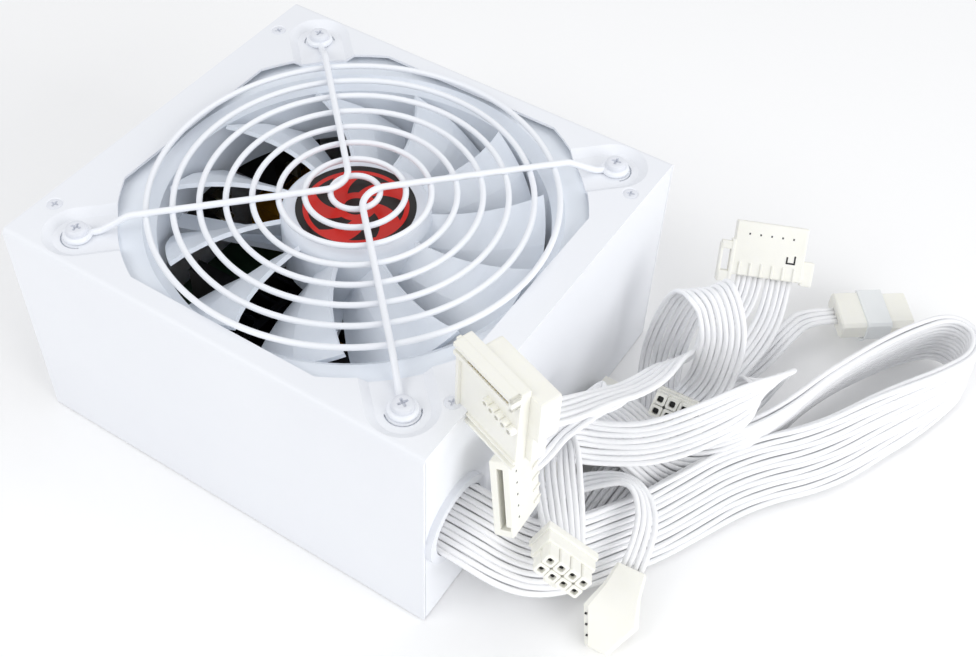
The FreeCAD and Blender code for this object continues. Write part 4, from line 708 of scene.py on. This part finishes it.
def upper_plug(name, matrix):
    """The plate-shaped plug that stands up in front of its two cables."""
    out, across, up = (-0.340, -0.940, 0), (0.940, -0.340, 0), (0, 0, 1)
    turn = Matrix((out, across, up)).transposed().to_4x4()
    turn.translation = matrix.translation

    def body(shape):
        add_block(shape, (3.6, -19.0, -16.4), (7.4, 7.0, 15.2), 0.5)
        add_block(shape, (7.0, -19.4, -16.6), (8.6, -18.2, 15.4), 0.3)
        add_block(shape, (7.0, -19.2, -16.6), (8.6, 7.0, -15.4), 0.3)
        add_block(shape, (7.0, -18.6, -14.2), (8.2, 7.0, -13.4), 0.3)
        add_block(shape, (7.0, -18.4, 10.6), (10.4, 7.0, 12.4), 0.4)
        add_block(shape, (7.0, -18.4, 13.8), (10.4, 7.0, 15.6), 0.4)
        add_block(shape, (7.0, 5.6, 10.6), (10.4, 7.0, 15.6), 0.4)
        add_block(shape, (-3.4, -14.5, -3.0), (4.0, 11.5, 13.0), 0.8)
        add_block(shape, (-1.4, -9.5, -14.0), (4.0, 9.5, -2.0), 0.8)

    def ring(shape):
        angles = [corner * math.pi / 6 for corner in range(12)]
        skin(shape, [[Vector((x, radius * math.cos(a), radius * math.sin(a))) / 1000 for a in angles]
                     for x, radius in ((7.2, 1.5), (9.2, 1.5), (9.4, 1.3), (9.4, 0.8), (7.6, 0.7))])

    def blade(shape):
        add_block(shape, (7.2, -0.35, 11.9), (10.0, 0.35, 12.9), 0.1)

    # Painted shade: a black block at the bottom of each ring
    def pit_shade(shape):
        skin(shape, [outline(7.5, 0.5, 0.5, 0.2), outline(8.0, 0.5, 0.5, 0.2)])

    rows = [(0, -5.2 + 2.6 * step, 1.6 - 0.4 * step) for step in range(5)]
    pieces = [
        formed(name + "_plate", body, NYLON, turn),
        repeated(name + "_rings", ring, rows, NYLON, turn),
        repeated(name + "_pits", pit_shade, rows, BLACK_NYLON_AND_SHADE, turn),
        repeated(name + "_blades", blade, [(0, -12 + 1.27 * step, 0) for step in range(14)], BRASS, turn),
    ]
    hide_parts(name)
    return pieces


def sleeved_plug(name, matrix):
    """A four-way plug in an opaque body with a clouded sleeve round its middle."""
    def body(shape):
        skin(shape, [outline(0, 8.6, 3.4, 1.2), outline(0.6, 9, 3.9, 1.2), outline(10, 9, 3.9, 1.2),
                     outline(10.2, 8.2, 3.2, 1.0), outline(18, 8.2, 3.2, 1.0), outline(18.2, 9, 3.7, 2.0),
                     outline(27.6, 9, 3.7, 2.0), outline(28, 8.6, 3.4, 2.0)])

    def sleeve(shape):
        skin(shape, [outline(9.4, 8.9, 4.0, 1.0), outline(9.6, 9.5, 4.5, 1.0), outline(18.8, 9.5, 4.5, 1.0),
                     outline(19, 8.9, 4.0, 1.0)])
        add_block(shape, (8, -9.2, -5.0), (9.8, 9.2, -3.6))

    pieces = [
        formed(name + "_body", body, NYLON, matrix),
        formed(name + "_sleeve", sleeve, CLEAR_NYLON, matrix),
    ]
    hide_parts(name)
    return pieces


def pointed_plug(name, matrix):
    """A flat plug that widens to two shoulders and tapers to its tip; three small black squares on it are
    painted shade in its pin openings.
    """
    def body(shape):
        skin(shape, [outline(0, 4.8, 2.6, 0.8), outline(0.6, 5.2, 3.0, 0.8), outline(8, 6.4, 3.6, 1.0),
                     outline(16.5, 9.4, 4.0, 1.6), outline(27.4, 4.2, 3.4, 1.2), outline(28, 3.6, 3.0, 1.0)])

    # Painted shade: a small black square where each pin opening lies
    def hole_shade(shape):
        skin(shape, [outline(0, 0.35, 0.35, 0.1), outline(0.7, 0.35, 0.35, 0.1)])

    hole_shades = [(18.6 + 3.0 * step, -7.6 + 1.5 * step, 3.6 - 0.16 * step) for step in range(3)]
    pieces = [
        formed(name + "_body", body, NYLON, matrix),
        repeated(name + "_holes", hole_shade, hole_shades, BLACK_NYLON_AND_SHADE, matrix),
    ]
    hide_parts(name)
    return pieces


def beside(matrix, distance):
    """A frame moved along its own Y, in millimetres."""
    return matrix @ Matrix.Translation((0, distance / 1000, 0))


# The rear plug's latch frame at one end, its small lug at the other, and a dark L beside its key, painted
# shade
REAR_BLOCKS = (
    ((-3, 12.4, -3.2), (13, 13.8, 3.6)),
    ((-3, 16.6, -3.2), (11, 17.8, 3.2)),
    ((9, 13.4, -3.2), (12, 17.4, 3.4)),
    ((-3, 13.4, -3.2), (1, 17.4, 3.4)),
    ((-1, -17.0, -2.6), (8, -12.8, 2.2)),
)
REAR_KEY_SHADE = (
    ((6.4, -9.8, 3.0), (9.6, -9.2, 3.3)),
    ((6.4, -9.8, 3.0), (7.0, -6.4, 3.3)),
    ((7.0, -7.0, 3.0), (9.0, -6.4, 3.3)),
)

PLUGS = {
    "main_connector": socket_plug("main_connector", 12, end_matrix("main_cable")),
    "eps_connector": socket_plug("eps_connector", 4, end_matrix("eps_cable")),
    "pcie_connector": socket_plug("pcie_connector", 4, end_matrix("pcie_cable")),
    "sata_plug_rear": data_plug("sata_plug_rear", beside(end_matrix("sata_cable"), CABLE_OFFSET),
                                blocks=REAR_BLOCKS, marks=REAR_KEY_SHADE),
    "sata_plug_upper": upper_plug("sata_plug_upper", beside(end_matrix("sata_link"), -CABLE_OFFSET)),
    "sata_plug_lower": data_plug("sata_plug_lower", end_matrix("sata_tail")),
    "drive_plug_rear": sleeved_plug("drive_plug_rear", end_matrix("drive_cable")),
    "drive_plug_front": pointed_plug("drive_plug_front", end_matrix("peripheral_cable")),
}

# Wires across, layers, plug and stiffness of each cable
CABLES = {
    "main_cable": (12, 2, "main_connector", "stiff"),
    "eps_cable": (8, 1, "eps_connector", "medium"),
    "pcie_cable": (8, 1, "pcie_connector", "medium"),
    "sata_cable": (5, 1, "sata_plug_rear", "medium"),
    "sata_link": (5, 1, "sata_plug_upper", "medium"),
    "sata_tail": (5, 1, "sata_plug_lower", "medium"),
    "drive_cable": (4, 1, "drive_plug_rear", "medium"),
    "peripheral_cable": (4, 1, "drive_plug_front", "medium"),
}


def cable(name):
    """The wires of one cable, which end where its plug was set."""
    wires, layers, plug, stiffness = CABLES[name]
    frames = ribbon_line(ROUTES[name])
    piece = new_piece(name + "_wires", mesh_of(draw_ribbon(frames, wires, layers)), WIRE)
    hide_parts(name)


for name in CABLES:
    cable(name)


# Screws


def screw_heads(name, places, radius, height, shank, length):
    """Pan-head screws with cross recesses, set out over their places."""
    def circle(reach, z):
        angles = [2 * math.pi * step / SCREW_SIDES for step in range(SCREW_SIDES)]
        return [Vector((reach * math.cos(a), reach * math.sin(a), z)) / 1000 for a in angles]

    def cross(bar, reach, z):
        loop = []
        for step in range(SCREW_SIDES):
            angle = 2 * math.pi * (step + 0.5) / SCREW_SIDES
            c, s = abs(math.cos(angle)), abs(math.sin(angle))
            far = max(min(reach / c, bar / s), min(bar / c, reach / s))
            loop.append(Vector((far * math.cos(angle), far * math.sin(angle), z)) / 1000)
        return loop

    def head(shape):
        skin(shape, [
            circle(shank, -length), circle(shank, 0), circle(radius, 0), circle(radius, height * 0.45),
            circle(radius * 0.92, height * 0.8), circle(radius * 0.75, height * 0.97),
            circle(radius * 0.62, height),
            cross(radius * 0.14, radius * 0.5, height), cross(radius * 0.1, radius * 0.4, height * 0.35),
        ])

    piece = repeated(name + "_heads", head, places, SCREW_COAT, spin=1.57, seed=4)
    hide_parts(name)


low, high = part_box("fan_screws")
radius, height = FAN_SCREW[:2]
screw_heads("fan_screws", [(x, y, high.z * 1000 - height)
                           for x in (low.x * 1000 + radius, high.x * 1000 - radius)
                           for y in (low.y * 1000 + radius, high.y * 1000 - radius)], *FAN_SCREW)
low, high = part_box("cover_screws")
height = COVER_SCREW[1]
screw_heads("cover_screws", [(x, y, high.z * 1000 - height) for x, y in COVER_SCREW_PLACES], *COVER_SCREW)


# Camera, light and floor


def studio():
    """The photo's camera, fitted to the case's corners, over white paper under three soft lamps."""
    scene = bpy.context.scene
    scene.view_settings.view_transform = "Standard"
    camera = bpy.data.cameras.new("camera")
    camera.lens = 48.654
    camera.sensor_width = 36.0
    camera.clip_start = 0.01
    eye = bpy.data.objects.new("camera", camera)
    bpy.context.collection.objects.link(eye)
    right = Vector((0.842688, 0.537198, 0.035988))
    up = Vector((-0.421547, 0.616735, 0.664783))
    back = Vector((0.334925, -0.575375, 0.746169))
    turn = Matrix((right, up, back)).transposed().to_4x4()
    eye.matrix_world = Matrix.Translation((0.19974, -0.24976, 0.37897)) @ turn
    scene.camera = eye

    world = bpy.data.worlds.new("studio")
    world.use_nodes = True
    scene.world = world
    tree = world.node_tree
    light = tree.nodes["Background"]
    light.inputs["Color"].default_value = linear("#FAFBFD")
    light.inputs["Strength"].default_value = 0.7
    seen = add(tree, "ShaderNodeBackground", {"Color": (1, 1, 1, 1), "Strength": 1.0})
    rays = add(tree, "ShaderNodeLightPath")
    switch = add(tree, "ShaderNodeMixShader", (), {
        0: rays.outputs["Is Camera Ray"],
        1: light.outputs[0],
        2: seen.outputs[0],
    })
    tree.links.new(switch.outputs[0], tree.nodes["World Output"].inputs["Surface"])

    # Name, place, target, size in metres and power in watts
    lamps = (
        ("key", (-0.35, -0.75, 0.9), (0.0, 0.0, 0.04), 0.6, 2.8),
        ("fill", (1.1, -0.15, 0.45), (0.1, 0.0, 0.03), 0.8, 5.6),
        ("top", (0.1, 0.5, 1.1), (0.0, 0.0, 0.05), 0.6, 1.1),
    )
    for name, place, target, size, power in lamps:
        lamp = bpy.data.lights.new(name, "AREA")
        lamp.size = size
        lamp.energy = power
        holder = bpy.data.objects.new(name, lamp)
        bpy.context.collection.objects.link(holder)
        holder.location = place
        holder.rotation_euler = (Vector(target) - Vector(place)).to_track_quat("-Z", "Y").to_euler()

    # Just under the case, so that the two never share a plane
    level = Matrix.Translation((0, 0, -0.0004))
    floor = bpy.data.objects.new("floor", mesh_of(
        lambda shape: bmesh.ops.create_grid(shape, x_segments=1, y_segments=1, size=1.0, matrix=level),
        smooth=False))
    bpy.context.collection.objects.link(floor)
    paper, _, _ = new_finish("pale_paper", "#FFFFFF", 0.9)
    finish_with(floor, paper)


studio()
